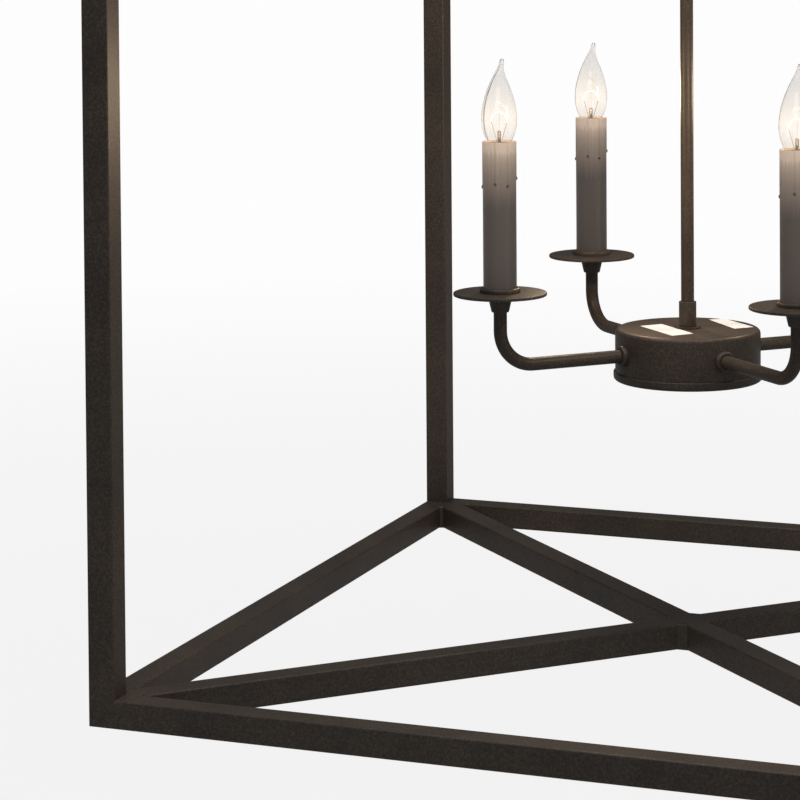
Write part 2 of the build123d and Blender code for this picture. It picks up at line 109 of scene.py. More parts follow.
class PendantSizes(bpy.types.PropertyGroup):
    """Roundings, welds and wax runs."""

    edge_round: bpy.props.FloatProperty(
        name="Tube edge", description="Rounding of the square tube's long edges", default=2.0 * MM, unit="LENGTH"
    )
    cross_weld: bpy.props.FloatProperty(
        name="Crossing weld", description="Leg of the welds where the braces cross", default=6.8 * MM, unit="LENGTH"
    )
    corner_weld: bpy.props.FloatProperty(
        name="Corner weld", description="Leg of the welds between a brace and the rails",
        default=5.0 * MM, unit="LENGTH"
    )
    disc_round: bpy.props.FloatProperty(
        name="Disc rim", description="Rounding of the drip discs' rims", default=0.9 * MM, unit="LENGTH"
    )
    ring_round: bpy.props.FloatProperty(
        name="Seat ring", description="Rounding of the ring round a candle's foot", default=2.2 * MM, unit="LENGTH"
    )
    collar_round: bpy.props.FloatProperty(
        name="Arm collar", description="Rounding of the collar where an arm meets the hub", default=2.4 * MM,
        unit="LENGTH",
    )
    run_height: bpy.props.FloatProperty(
        name="Wax run", description="How far a wax run stands out of its sleeve", default=0.32 * MM, unit="LENGTH"
    )
    drop_height: bpy.props.FloatProperty(
        name="Wax drop", description="How far the drop at a run's end stands out", default=1.25 * MM, unit="LENGTH"
    )
    glass_wall: bpy.props.FloatProperty(
        name="Glass", description="Wall of the bulbs' glass", default=0.6 * MM, unit="LENGTH"
    )


class PendantColours(bpy.types.PropertyGroup):
    """Colours of the finishes."""

    bronze: bpy.props.FloatVectorProperty(
        name="Bronze coat", description="Dark bronze powder coat",
        subtype="COLOR", size=3, default=(0.043, 0.0355, 0.03)
    )
    bronze_fleck: bpy.props.FloatVectorProperty(
        name="Bronze fleck", description="Paler grains in the coat",
        subtype="COLOR", size=3, default=(0.07, 0.058, 0.048)
    )
    # Painted glow: the sleeve's colour at its rim stands in for the bulb's light shining through the sleeve.
    sleeve_painted_glow: bpy.props.FloatVectorProperty(
        name="Sleeve rim", description="Candle sleeve near its top",
        subtype="COLOR", size=3, default=(0.74, 0.575, 0.455)
    )
    sleeve_foot: bpy.props.FloatVectorProperty(
        name="Sleeve foot", description="Candle sleeve below its wax runs", subtype="COLOR", size=3,
        default=(0.15, 0.119, 0.1),
    )
    zinc: bpy.props.FloatVectorProperty(
        name="Zinc", description="Plated nuts, nipples and strap", subtype="COLOR", size=3, default=(0.56, 0.56, 0.54)
    )
    brass: bpy.props.FloatVectorProperty(
        name="Brass", description="Bulb bases and socket liners", subtype="COLOR", size=3, default=(0.73, 0.53, 0.25)
    )
    filament: bpy.props.FloatVectorProperty(
        name="Filament", description="Glow of the filaments", subtype="COLOR", size=3, default=(1.0, 0.78, 0.5)
    )


class PendantStage(bpy.types.PropertyGroup):
    """Camera and lamps."""

    lens: bpy.props.FloatProperty(
        name="Lens", description="Focal length on a 36 mm sensor, in millimetres", default=123.38
    )
    side_power: bpy.props.FloatProperty(
        name="Side", description="Softbox at the right", default=8.0, unit="POWER"
    )
    top_power: bpy.props.FloatProperty(name="Top", description="Softbox overhead", default=72.0, unit="POWER")
    front_power: bpy.props.FloatProperty(
        name="Front", description="Softbox above the camera", default=24.0, unit="POWER"
    )
    bulb_power: bpy.props.FloatProperty(name="Bulb", description="Light of each bulb", default=2.0, unit="POWER")
    room_light: bpy.props.FloatProperty(name="Room", description="Even light from all round", default=0.1)
    floor_drop: bpy.props.FloatProperty(
        name="Floor", description="How far the floor lies below the cage", default=0.55, unit="LENGTH"
    )


# ---- mesh making ----

def clean(mesh):
    """Merge doubles and turn the faces outwards."""
    bmesh.ops.remove_doubles(mesh, verts=mesh.verts, dist=1e-7)
    bmesh.ops.recalc_face_normals(mesh, faces=mesh.faces)
    return mesh


def turned(corners, rounds=None, steps=72, closed=True):
    """Spin a profile of (radius, height) corners about Z. rounds gives some corners a radius."""
    mesh = bmesh.new()
    verts = [mesh.verts.new((radius, 0, height)) for radius, height in corners]
    for pair in zip(verts, verts[1:]):
        mesh.edges.new(pair)
    if closed:
        mesh.edges.new((verts[-1], verts[0]))
    for index, radius in (rounds or {}).items():
        bmesh.ops.bevel(
            mesh, geom=[verts[index]], offset=radius, offset_type="OFFSET", segments=5, profile=0.5,
            affect="VERTICES", material=-1,
        )
    bmesh.ops.spin(
        mesh, geom=mesh.verts[:] + mesh.edges[:], cent=(0, 0, 0), axis=UP, angle=tau, steps=steps, use_merge=True
    )
    return clean(mesh)


def tube_wall(outer, inner, foot, top, chamfer=0.3 * MM, steps=48):
    """Upright round tube with softened ends."""
    corners = [(inner, foot), (outer, foot), (outer, top), (inner, top)]
    return turned(corners, {1: chamfer, 2: chamfer}, steps)


def moved(mesh, matrix):
    bmesh.ops.transform(mesh, matrix=matrix, verts=mesh.verts)
    return mesh


def shifted(mesh, offset):
    return moved(mesh, Matrix.Translation(offset))


def gathered(solids):
    """Several solids as one mesh."""
    whole = bmesh.new()
    for solid in solids:
        carrier = bpy.data.meshes.new("carrier")
        solid.to_mesh(carrier)
        solid.free()
        whole.from_mesh(carrier)
        bpy.data.meshes.remove(carrier)
    return whole


def prism(outline, push):
    """A flat outline pushed along a vector."""
    mesh = bmesh.new()
    face = mesh.faces.new([mesh.verts.new(point) for point in outline])
    grown = bmesh.ops.extrude_face_region(mesh, geom=[face], use_keep_orig=True)
    verts = [item for item in grown["geom"] if isinstance(item, bmesh.types.BMVert)]
    bmesh.ops.translate(mesh, vec=push, verts=verts)
    return clean(mesh)


def softened(mesh, radius, steepest=30, segments=3):
    """Bevel the edges that turn by more than an angle."""
    edges = [edge for edge in mesh.edges if edge.is_manifold and edge.calc_face_angle() > radians(steepest)]
    bmesh.ops.bevel(
        mesh, geom=edges, offset=radius, offset_type="OFFSET", segments=segments, profile=0.5, affect="EDGES",
        clamp_overlap=True, material=-1,
    )
    return mesh


def frame_copy(node):
    """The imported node's own shape, merged, for a finer copy."""
    mesh = bmesh.new()
    mesh.from_mesh(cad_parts[node].data)
    bmesh.ops.remove_doubles(mesh, verts=mesh.verts, dist=0.002 * MM)
    bmesh.ops.dissolve_limit(mesh, angle_limit=radians(1), verts=mesh.verts, edges=mesh.edges)
    return mesh


def piece(name, mesh, body, finish, nodes=(), sharp=32):
    """Make the object of a mesh, riding on a body and standing for its nodes."""
    data = bpy.data.meshes.new(name)
    mesh.to_mesh(data)
    mesh.free()
    data.shade_smooth()
    data.set_sharp_from_angle(angle=radians(sharp))
    data.materials.append(finish)
    solid = bpy.data.objects.new(name, data)
    bpy.context.scene.collection.objects.link(solid)
    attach(solid, body)
    if nodes:
        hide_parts(*nodes)
    return solid


# ---- finishes ----

def new_finish(name):
    """A material with its Principled shader, and its node tree."""
    finish = bpy.data.materials.new(name)
    finish.use_nodes = True
    return finish, finish.node_tree, finish.node_tree.nodes["Principled BSDF"]


def add(tree, kind, **settings):
    """Add a shader node. Settings with a capital are inputs, the rest are its own properties."""
    made = tree.nodes.new(kind)
    for key, value in settings.items():
        if key[0].isupper():
            made.inputs[key.replace("_", " ")].default_value = value
        else:
            setattr(made, key, value)
    return made


def object_place(tree):
    return add(tree, "ShaderNodeTexCoord").outputs["Object"]


def grain(tree, place, scale, detail=3.0, roughness=0.55):
    """Noise over the object's own coordinates."""
    noise = add(tree, "ShaderNodeTexNoise", Scale=scale, Detail=detail, Roughness=roughness)
    tree.links.new(place, noise.inputs["Vector"])
    return noise.outputs["Fac"]


def ramp(tree, source, stops):
    """Colour ramp through (position, colour) stops."""
    made = add(tree, "ShaderNodeValToRGB")
    elements = made.color_ramp.elements
    while len(elements) < len(stops):
        elements.new(0.5)
    for element, (position, colour) in zip(elements, stops):
        element.position = position
        element.color = (*colour, 1)
    tree.links.new(source, made.inputs["Fac"])
    return made.outputs["Color"]


def spread(tree, source, low_value, high_value):
    """Map a 0 to 1 value onto a range."""
    made = add(tree, "ShaderNodeMapRange", To_Min=low_value, To_Max=high_value)
    tree.links.new(source, made.inputs["Value"])
    return made.outputs["Result"]


def bump(tree, shader, source, strength, distance):
    made = add(tree, "ShaderNodeBump", Strength=strength, Distance=distance)
    tree.links.new(source, made.inputs["Height"])
    tree.links.new(made.outputs["Normal"], shader.inputs["Normal"])


def mixed(tree, blend, factor, first, second):
    """Mix two colours."""
    made = add(tree, "ShaderNodeMix", data_type="RGBA", blend_type=blend)
    made.inputs["Factor"].default_value = factor
    tree.links.new(first, made.inputs["A"])
    tree.links.new(second, made.inputs["B"])
    return made.outputs["Result"]


def shade(colour, factor):
    return tuple(channel * factor for channel in colour)


def powder_coat(name, colours, grain_scale=480.0):
    """Fine-textured bronze powder coat: dark ground, paler grains, faint cloudy patches."""
    finish, tree, shader = new_finish(name)
    place = object_place(tree)
    fine = grain(tree, place, grain_scale, 4.0, 0.62)
    cloud = grain(tree, place, 14.0, 3.0, 0.5)
    ground = ramp(tree, fine, [
        (0.35, shade(colours.bronze, 0.7)), (0.52, tuple(colours.bronze)), (0.72, tuple(colours.bronze_fleck)),
    ])
    patches = ramp(tree, cloud, [(0.35, (0.84, 0.83, 0.82)), (0.65, (1.1, 1.07, 1.03))])
    tree.links.new(mixed(tree, "MULTIPLY", 1.0, ground, patches), shader.inputs["Base Color"])
    tree.links.new(spread(tree, cloud, 0.36, 0.48), shader.inputs["Roughness"])
    shader.inputs["Specular IOR Level"].default_value = 0.16
    bump(tree, shader, fine, 0.5, 0.22 * MM)
    return finish


def plated(name, colour, rough, scale):
    """Plated or drawn metal with fine scuffs."""
    finish, tree, shader = new_finish(name)
    place = object_place(tree)
    fine = grain(tree, place, scale, 4.0, 0.6)
    cloud = grain(tree, place, 90.0, 2.0, 0.5)
    tone = ramp(tree, cloud, [(0.3, shade(colour, 0.78)), (0.7, tuple(colour))])
    tree.links.new(tone, shader.inputs["Base Color"])
    tree.links.new(spread(tree, fine, rough - 0.08, rough + 0.14), shader.inputs["Roughness"])
    shader.inputs["Metallic"].default_value = 1.0
    bump(tree, shader, fine, 0.25, 0.08 * MM)
    return finish


def moulded(name, colour, rough, scale=900.0):
    """Moulded plastic or paint with a fine orange peel."""
    finish, tree, shader = new_finish(name)
    place = object_place(tree)
    fine = grain(tree, place, scale, 2.0, 0.5)
    cloud = grain(tree, place, 60.0, 3.0, 0.5)
    tone = ramp(tree, cloud, [(0.3, shade(colour, 0.85)), (0.7, tuple(colour))])
    tree.links.new(tone, shader.inputs["Base Color"])
    tree.links.new(spread(tree, cloud, rough - 0.06, rough + 0.08), shader.inputs["Roughness"])
    bump(tree, shader, fine, 0.3, 0.06 * MM)
    return finish


def candle_coat_painted_glow(colours):
    """Bronze coat on the sleeves with painted glow: the colour pales to a warm beige towards the rim and the rim
    emits warm light, standing in for the bulb's light through the translucent sleeve.
    """
    finish, tree, shader = new_finish("candle_coat_painted_glow")
    place = object_place(tree)
    parts = add(tree, "ShaderNodeSeparateXYZ")
    tree.links.new(place, parts.inputs["Vector"])
    streak_place = add(tree, "ShaderNodeMapping", Scale=(420.0, 420.0, 14.0))
    tree.links.new(place, streak_place.inputs["Vector"])
    streaks = grain(tree, streak_place.outputs["Vector"], 1.0, 3.0, 0.6)
    height = add(tree, "ShaderNodeMapRange", From_Min=SLEEVE_FOOT, From_Max=SLEEVE_TOP)
    tree.links.new(parts.outputs["Z"], height.inputs["Value"])
    shaken = add(tree, "ShaderNodeMath", operation="MULTIPLY_ADD")
    tree.links.new(streaks, shaken.inputs[0])
    shaken.inputs[1].default_value = 0.12
    tree.links.new(height.outputs["Result"], shaken.inputs[2])
    # The rim colour is painted glow: the bulb's light seen through the sleeve.
    rim = tuple(colours.sleeve_painted_glow)
    foot = tuple(colours.sleeve_foot)
    halfway = tuple((a * 0.3 + b * 0.7) for a, b in zip(rim, foot))
    # Painted glow: the dark foot, a little darker at the very bottom, rises to pale beige at the rim.
    tone = ramp(tree, shaken.outputs[0], [
        (0.1, shade(foot, 0.88)), (0.62, foot), (0.84, halfway), (0.97, shade(rim, 0.72)), (1.0, rim),
    ])
    wax = add(tree, "ShaderNodeAttribute", attribute_name="wax")
    beads = ramp(tree, wax.outputs["Fac"], [(0.0, (1, 1, 1)), (0.25, (0.8, 0.78, 0.76)), (0.8, (0.2, 0.18, 0.16))])
    tree.links.new(mixed(tree, "MULTIPLY", 1.0, tone, beads), shader.inputs["Base Color"])
    # Painted glow: warm emission near the rim, though the sleeve is no lamp.
    painted_glow_stops = [(0.6, (0, 0, 0)), (0.85, (0.3, 0.22, 0.16)), (1.0, (1.0, 0.78, 0.6))]
    through = ramp(tree, height.outputs["Result"], painted_glow_stops)
    tree.links.new(through, shader.inputs["Emission Color"])
    shader.inputs["Emission Strength"].default_value = 0.2
    fine = grain(tree, place, 700.0, 3.0, 0.6)
    tree.links.new(spread(tree, fine, 0.3, 0.4), shader.inputs["Roughness"])
    shader.inputs["Specular IOR Level"].default_value = 0.5
    bump(tree, shader, fine, 0.25, 0.1 * MM)
    return finish


def glass_with_painted_glow(colours):
    """Thin, faintly smoky glass with a painted warm glow at the filament's height, standing in for the filament's
    light in the glass.
    """
    finish, tree, shader = new_finish("glass_with_painted_glow")
    place = object_place(tree)
    ripple = grain(tree, place, 40.0, 2.0, 0.5)
    tone = ramp(tree, ripple, [(0.3, (0.885, 0.868, 0.85)), (0.7, (0.91, 0.893, 0.875))])
    tree.links.new(tone, shader.inputs["Base Color"])
    shader.inputs["Roughness"].default_value = 0.0
    shader.inputs["IOR"].default_value = 1.45
    shader.inputs["Transmission Weight"].default_value = 1.0
    parts = add(tree, "ShaderNodeSeparateXYZ")
    tree.links.new(place, parts.inputs["Vector"])
    height = add(tree, "ShaderNodeMapRange", From_Min=SLEEVE_TOP, From_Max=high("bulb_glass_1").z)
    tree.links.new(parts.outputs["Z"], height.inputs["Value"])
    # Painted glow: the glass emits warm light around the filament's height, though the glass is no lamp.
    painted_glow_colour = tuple(colours.filament)
    glow = ramp(tree, height.outputs["Result"], [
        (0.0, shade(painted_glow_colour, 0.3)), (0.14, shade(painted_glow_colour, 0.7)), (0.3, painted_glow_colour), (0.5, shade(painted_glow_colour, 0.45)), (0.8, (0, 0, 0)),
    ])
    tree.links.new(glow, shader.inputs["Emission Color"])
    shader.inputs["Emission Strength"].default_value = 0.07
    bump(tree, shader, ripple, 0.12, 0.2 * MM)
    return finish


def glowing(colours):
    """White-hot coil."""
    finish, tree, shader = new_finish("filament_glow")
    place = object_place(tree)
    tone = ramp(tree, grain(tree, place, 500.0), [
        (0.3, shade(colours.filament, 0.8)), (0.7, tuple(colours.filament)),
    ])
    tree.links.new(tone, shader.inputs["Base Color"])
    tree.links.new(tone, shader.inputs["Emission Color"])
    shader.inputs["Emission Strength"].default_value = 5.0
    return finish


def label_paper():
    """Blank white label stock."""
    finish, tree, shader = new_finish("label_paper")
    place = object_place(tree)
    fibre = grain(tree, place, 800.0, 3.0, 0.6)
    tone = ramp(tree, fibre, [(0.3, (0.5, 0.53, 0.57)), (0.7, (0.56, 0.59, 0.63))])
    tree.links.new(tone, shader.inputs["Base Color"])
    tree.links.new(spread(tree, fibre, 0.55, 0.7), shader.inputs["Roughness"])
    bump(tree, shader, fibre, 0.2, 0.05 * MM)
    return finish


def finish_of(name):
    """A finish made by the finishes operator."""
    return bpy.data.materials[name]


BRONZE_NODES = {
    "frame_coat": [f"post_{end}_{side}" for end in ("front", "back") for side in ("left", "right")]
    + [f"{level}_rail_{side}" for level in ("bottom", "top") for side in ("front", "back", "left", "right")]
    + [f"{level}_brace_{bar}" for level in ("bottom", "top") for bar in ("bar", "halves")],
}


class PENDANT_OT_finishes(bpy.types.Operator):
    """Make the finishes and give them to the frame's own pieces"""

    bl_idname = "pendant.finishes"
    bl_label = "Finishes"

    def execute(self, context):
        colours = context.scene.pendant_colours
        powder_coat("frame_coat", colours)
        powder_coat("rod_coat", colours, 620.0)
        powder_coat("cluster_coat", colours, 560.0)
        plated("zinc_plate", tuple(colours.zinc), 0.34, 900.0)
        plated("brass_plate", tuple(colours.brass), 0.24, 700.0)
        plated("lead_wire", (0.5, 0.48, 0.46), 0.35, 900.0)
        moulded("socket_phenolic", (0.02, 0.018, 0.016), 0.42)
        moulded("green_dye", (0.02, 0.17, 0.05), 0.4)
        candle_coat_painted_glow(colours)
        glass_with_painted_glow(colours)
        glowing(colours)
        label_paper()
        for name, nodes in BRONZE_NODES.items():
            for node in nodes:
                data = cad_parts[node].data
                data.materials.clear()
                data.materials.append(finish_of(name))
        return {"FINISHED"}


# ---- ceiling fitting and swivel ----

def thread_ridges(mesh, foot, top, pitch, depth, nearest):
    """Press a screw thread into the upright walls further out than a radius."""
    for vert in mesh.verts:
        radius = hypot(vert.co.x, vert.co.y)
        if radius > nearest and foot < vert.co.z < top:
            turn = atan2(vert.co.y, vert.co.x) / tau
            wave = 0.5 - 0.5 * cos(tau * (vert.co.z / pitch - turn))
            scale = 1 - depth * wave / radius
            vert.co.x *= scale
            vert.co.y *= scale
    return mesh


def threaded_pipe(foot, top, cut_foot, cut_top, steps=24):
    """Lamp pipe, threaded between two heights."""
    pitch = 0.94 * MM
    wall = PIPE_R - 1.65 * MM
    rows = max(2, round((cut_top - cut_foot) / pitch * 4))
    inner = [(wall, top), (wall, foot)]
    outer = [(PIPE_R, foot)] if cut_foot > foot + pitch else []
    outer += [(PIPE_R, cut_foot + (cut_top - cut_foot) * row / rows) for row in range(rows + 1)]
    outer += [(PIPE_R, top)] if cut_top < top - pitch else []
    mesh = turned(inner + outer, steps=steps)
    return thread_ridges(mesh, cut_foot, cut_top, pitch, 0.45 * MM, PIPE_R * 0.95)


def arc_points(centre, radius, first, last, count):
    """Points on an arc as (radius, height) pairs, angles in degrees from the horizontal."""
    steps = [radians(first + (last - first) * step / (count - 1)) for step in range(count)]
    return [(centre[0] + radius * cos(angle), centre[1] + radius * sin(angle)) for angle in steps]


def canopy_dome():
    """Spun steel canopy: flat middle, shallow dome, short straight skirt with a softened top edge."""
    skirt = 8.0 * MM
    flat = 22.0 * MM
    wall = 1.2 * MM
    across, deep = CANOPY_R - flat, -CANOPY_LOW - skirt
    radius = (across**2 + deep**2) / (2 * deep)
    sweep = degrees(atan2(across, radius - deep))
    outside = arc_points((flat, CANOPY_LOW + radius), radius, -90, -90 + sweep, 18)
    inside = arc_points((flat, CANOPY_LOW + radius), radius - wall, -90 + sweep, -90, 18)
    hole = PIPE_R + 0.05 * MM
    corners = [(hole, CANOPY_LOW)] + outside + [(CANOPY_R, 0), (CANOPY_R - wall, 0)]
    corners += [(CANOPY_R - wall, -skirt)] + inside[1:] + [(hole, CANOPY_LOW + wall)]
    return turned(corners, {19: 0.5 * MM}, steps=96)


def hexagonal(mesh, across):
    """Draw a turned ring's outer wall out into a hexagon."""
    for vert in mesh.verts:
        angle = (atan2(vert.co.y, vert.co.x) + pi / 6) % (pi / 3) - pi / 6
        reach = hypot(vert.co.x, vert.co.y)
        if reach > across / 2 - 0.01 * MM:
            vert.co.x /= cos(angle)
            vert.co.y /= cos(angle)
    return mesh


def hex_nut(across, foot, thick):
    """Hexagon nut with its corners turned down, bored for the pipe."""
    bore, turn_down = PIPE_R + 0.02 * MM, 0.5 * MM
    top = foot + thick
    corners = [
        (bore, foot), (across / 2 - 0.3 * MM, foot), (across / 2, foot + turn_down), (across / 2, top - turn_down),
        (across / 2 - 0.3 * MM, top), (bore, top),
    ]
    return hexagonal(turned(corners, steps=48), across)


def ground_screw(foot, top):
    """Hexagon-headed screw with a plain shank."""
    across, head, shank = 7.7 * MM, 3.0 * MM, 2.08 * MM
    corners = [
        (0, foot), (across / 2 - 0.4 * MM, foot), (across / 2, foot + 0.5 * MM), (across / 2, foot + head),
        (shank, foot + head), (shank, top), (0, top),
    ]
    return hexagonal(turned(corners, steps=48, closed=False), across)


class PENDANT_OT_ceiling_fitting(bpy.types.Operator):
    """Make the canopy, strap, nipple, nuts and ground screw"""

    bl_idname = "pendant.ceiling_fitting"
    bl_label = "Ceiling fitting"

    def execute(self, context):
        bronze = finish_of("cluster_coat")
        zinc = finish_of("zinc_plate")
        body = "ceiling_fitting"
        piece("canopy_dome", canopy_dome(), body, bronze, ["canopy"])
        strap = softened(frame_copy("mounting_strap"), 0.25 * MM, 40, 2)
        piece("steel_strap", strap, body, zinc, ["mounting_strap"])
        nipple_low = low("canopy_nipple").z
        nipple = threaded_pipe(nipple_low, 0, nipple_low, 0, 32)
        piece("threaded_nipple", nipple, body, zinc, ["canopy_nipple"])
        nut = hex_nut(14.0 * MM, low("canopy_locknut").z, 3.0 * MM)
        piece("canopy_hex_nut", nut, body, zinc, ["canopy_locknut"])
        screw = ground_screw(low("ground_screw").z, high("ground_screw").z)
        place = Vector((middle("ground_screw").x, 0, 0))
        piece("green_ground_screw", shifted(screw, place), body, finish_of("green_dye"),
              ["ground_screw"])
        return {"FINISHED"}


def cross_pin():
    """Swivel pin with domed heads, along X."""
    reach = width("swivel_pin") / 2
    head_r = (high("swivel_pin").y - low("swivel_pin").y) / 2
    head = 1.6 * MM
    shank = 2.5 * MM
    corners = [
        (0, -reach), (head_r, -reach), (head_r, -reach + head), (shank, -reach + head),
        (shank, reach - head), (head_r, reach - head), (head_r, reach), (0, reach),
    ]
    mesh = turned(corners, {1: 1.1 * MM, 6: 1.1 * MM}, steps=40, closed=False)
    return moved(mesh, Matrix.Translation((0, 0, PIN_Z)) @ Matrix.Rotation(pi / 2, 4, "Y"))


class PENDANT_OT_swivel(bpy.types.Operator):
    """Make the hang-straight swivel"""

    bl_idname = "pendant.swivel"
    bl_label = "Swivel"

    def execute(self, context):
        bronze = finish_of("cluster_coat")
        yoke = softened(frame_copy("swivel_yoke"), 0.5 * MM, 40, 3)
        piece("forked_yoke", yoke, "ceiling_fitting", bronze, ["swivel_yoke"])
        piece("domed_pin", cross_pin(), "ceiling_fitting", bronze, ["swivel_pin"])
        knuckle = softened(frame_copy("swivel_knuckle"), 0.4 * MM, 40, 3)
        piece("tongue_knuckle", knuckle, "pendant", bronze, ["swivel_knuckle"])
        return {"FINISHED"}


# ---- rods ----

def tooth_washer(foot, radius, hole, thick):
    """Tooth lock washer: each tooth is narrow, and slopes from one face to the other."""
    teeth = 24
    root, edge = radius - 1.6 * MM, 0.35 * MM
    lower, upper = foot + edge, foot + thick - edge
    corners = [(hole, lower), (root, lower), (radius, lower), (radius, upper), (root, upper), (hole, upper)]
    mesh = turned(corners, steps=teeth * 6)
    for vert in mesh.verts:
        reach = hypot(vert.co.x, vert.co.y)
        turn = (atan2(vert.co.y, vert.co.x) / tau * teeth) % 1.0
        if reach > radius - 0.1 * MM:
            drawn = 1.4 * MM if turn < 0.01 or turn > 0.6 else 0.0
            vert.co.x *= (radius - drawn) / reach
            vert.co.y *= (radius - drawn) / reach
            if not drawn:
                vert.co.z += (turn / 0.3 - 1.0) * edge * 0.9
    return mesh


def coupling_sleeve(foot, top):
    """Plain round coupling with broken edges."""
    return tube_wall(COUPLING_R, ROD_R, foot, top, 0.45 * MM)


class PENDANT_OT_rods(bpy.types.Operator):
    """Make the rods, stem, couplings and washers"""

    bl_idname = "pendant.rods"
    bl_label = "Rods"

    def execute(self, context):
        bronze = finish_of("rod_coat")
        for name, node in (("hanging_rod_upper", "upper_rod"), ("hanging_rod_lower", "lower_rod"),
                           ("stem_rod", "centre_stem")):
            rod = tube_wall(ROD_R, ROD_R - 1.2 * MM, low(node).z, high(node).z)
            piece(name, rod, "pendant", bronze, [node])
        joint = coupling_sleeve(low("rod_coupling").z, high("rod_coupling").z)
        piece("rod_joint", joint, "pendant", bronze, ["rod_coupling"])
        long = 24.0 * MM
        washer = 2.0 * MM
        under = FRAME_TOP - TUBE
        feet = (high("stem_couplings").z - long, under - washer - long, HUB_TOP + washer)
        sleeves = gathered([coupling_sleeve(foot, foot + long) for foot in feet])
        piece("stem_joints", sleeves, "pendant", bronze, ["stem_couplings"])
        washer_r = width("toothed_washers") / 2
        levels = (FRAME_TOP, under - washer, HUB_TOP)
        washers = gathered([tooth_washer(z, washer_r, PIPE_R + 0.3 * MM, washer) for z in levels])
        piece("tooth_lock_washers", washers, "pendant", bronze, ["toothed_washers"], 20)
        for name, node in (("frame_pipe", "frame_nipple"), ("hub_pipe", "hub_nipple")):
            pipe = threaded_pipe(low(node).z, high(node).z, low(node).z, high(node).z)
            piece(name, pipe, "pendant", finish_of("zinc_plate"), [node])
        return {"FINISHED"}


# ---- cage ----

def groove_fill(start, along, into, level, down, edge):
    """Fill beside a butt joint, over the rounded edge of the tube that is butted against."""
    corner = Vector((start.x, start.y, level))
    outline = [corner, corner + into * edge, corner + UP * down * edge]
    return prism(outline, along)


def corner_web(corner, first, second, leg, floor, top, edge):
    """Weld in an upright corner between two tubes, flush with their tops and undersides."""
    first, second = first.normalized(), second.normalized()
    outline = [
        corner + first * leg,
        corner + second * leg,
        corner + second * leg - first * edge,
        corner - (first + second).normalized() * edge * 1.4,
        corner + first * leg - second * edge,
    ]
    outline = [Vector((point.x, point.y, floor)) for point in outline]
    mesh = prism(outline, (0, 0, top - floor))
    face_mid = (first + second) * leg / 2 + corner
    for edge_line in mesh.edges[:]:
        a, b = (vert.co for vert in edge_line.verts)
        mid = (a + b) / 2
        level = abs(a.z - b.z) < 1e-6
        if level and (Vector((mid.x, mid.y, 0)) - Vector((face_mid.x, face_mid.y, 0))).length < 0.3 * MM:
            edge_line.tag = True
    chosen = [line for line in mesh.edges if line.tag]
    bmesh.ops.bevel(
        mesh, geom=chosen, offset=edge, offset_type="OFFSET", segments=4, profile=0.5, affect="EDGES", material=-1
    )
    return mesh


def cage_welds(floor, sizes):
    """Flush welds of one level: brace ends, crossing and fillets."""
    top = floor + TUBE
    edge = sizes.edge_round
    half = TUBE / 2
    solids = []
    brace = atan2(HALF_Y, HALF_X)
    for side_x in (-1, 1):
        for side_y in (-1, 1):
            inner = Vector((side_x * (HALF_X - TUBE), side_y * (HALF_Y - TUBE), 0))
            run_x = Vector((-side_x, 0, 0))
            run_y = Vector((0, -side_y, 0))
            reach_x = half / sin(brace)
            reach_y = half / cos(brace)
            for level, down in ((top, -1), (floor, 1)):
                solids.append(groove_fill(inner, run_x * reach_x, -run_y, level, down, edge))
                solids.append(groove_fill(inner, run_y * reach_y, -run_x, level, down, edge))
            bar = Vector((-side_x * cos(brace), -side_y * sin(brace), 0))
            for run, reach in ((run_x, reach_x), (run_y, reach_y)):
                solids.append(corner_web(inner + run * reach, run, bar, sizes.corner_weld, floor, top, edge))
    through = Vector((cos(brace), -sin(brace), 0))
    across = Vector((cos(brace), sin(brace), 0))
    normal = Vector((sin(brace), cos(brace), 0))
    for side in (-1, 1):
        start = normal * half * side - through * half
        for level, down in ((top, -1), (floor, 1)):
            solids.append(groove_fill(start, through * TUBE, -normal * side, level, down, edge))
        for end in (-1, 1):
            corner = normal * half * side + through * half * end
            solids.append(corner_web(corner, across * side, through * end, sizes.cross_weld, floor, top, edge))
    return gathered(solids)


class PENDANT_OT_cage_welds(bpy.types.Operator):
    """Make the cage's welds"""

    bl_idname = "pendant.cage_welds"
    bl_label = "Cage welds"

    def execute(self, context):
        sizes = context.scene.pendant_sizes
        coat = finish_of("frame_coat")
        piece("bottom_brace_welds", cage_welds(FRAME_LOW, sizes), "pendant", coat)
        piece("top_brace_welds", cage_welds(FRAME_TOP - TUBE, sizes), "pendant", coat)
        return {"FINISHED"}


# ---- hub ----

def label_on_hub(corners):
    """Blank label lying on the hub's top."""
    outline = [Vector((x * MM, y * MM, HUB_TOP - 0.02 * MM)) for x, y in corners]
    return prism(outline, (0, 0, 0.14 * MM))


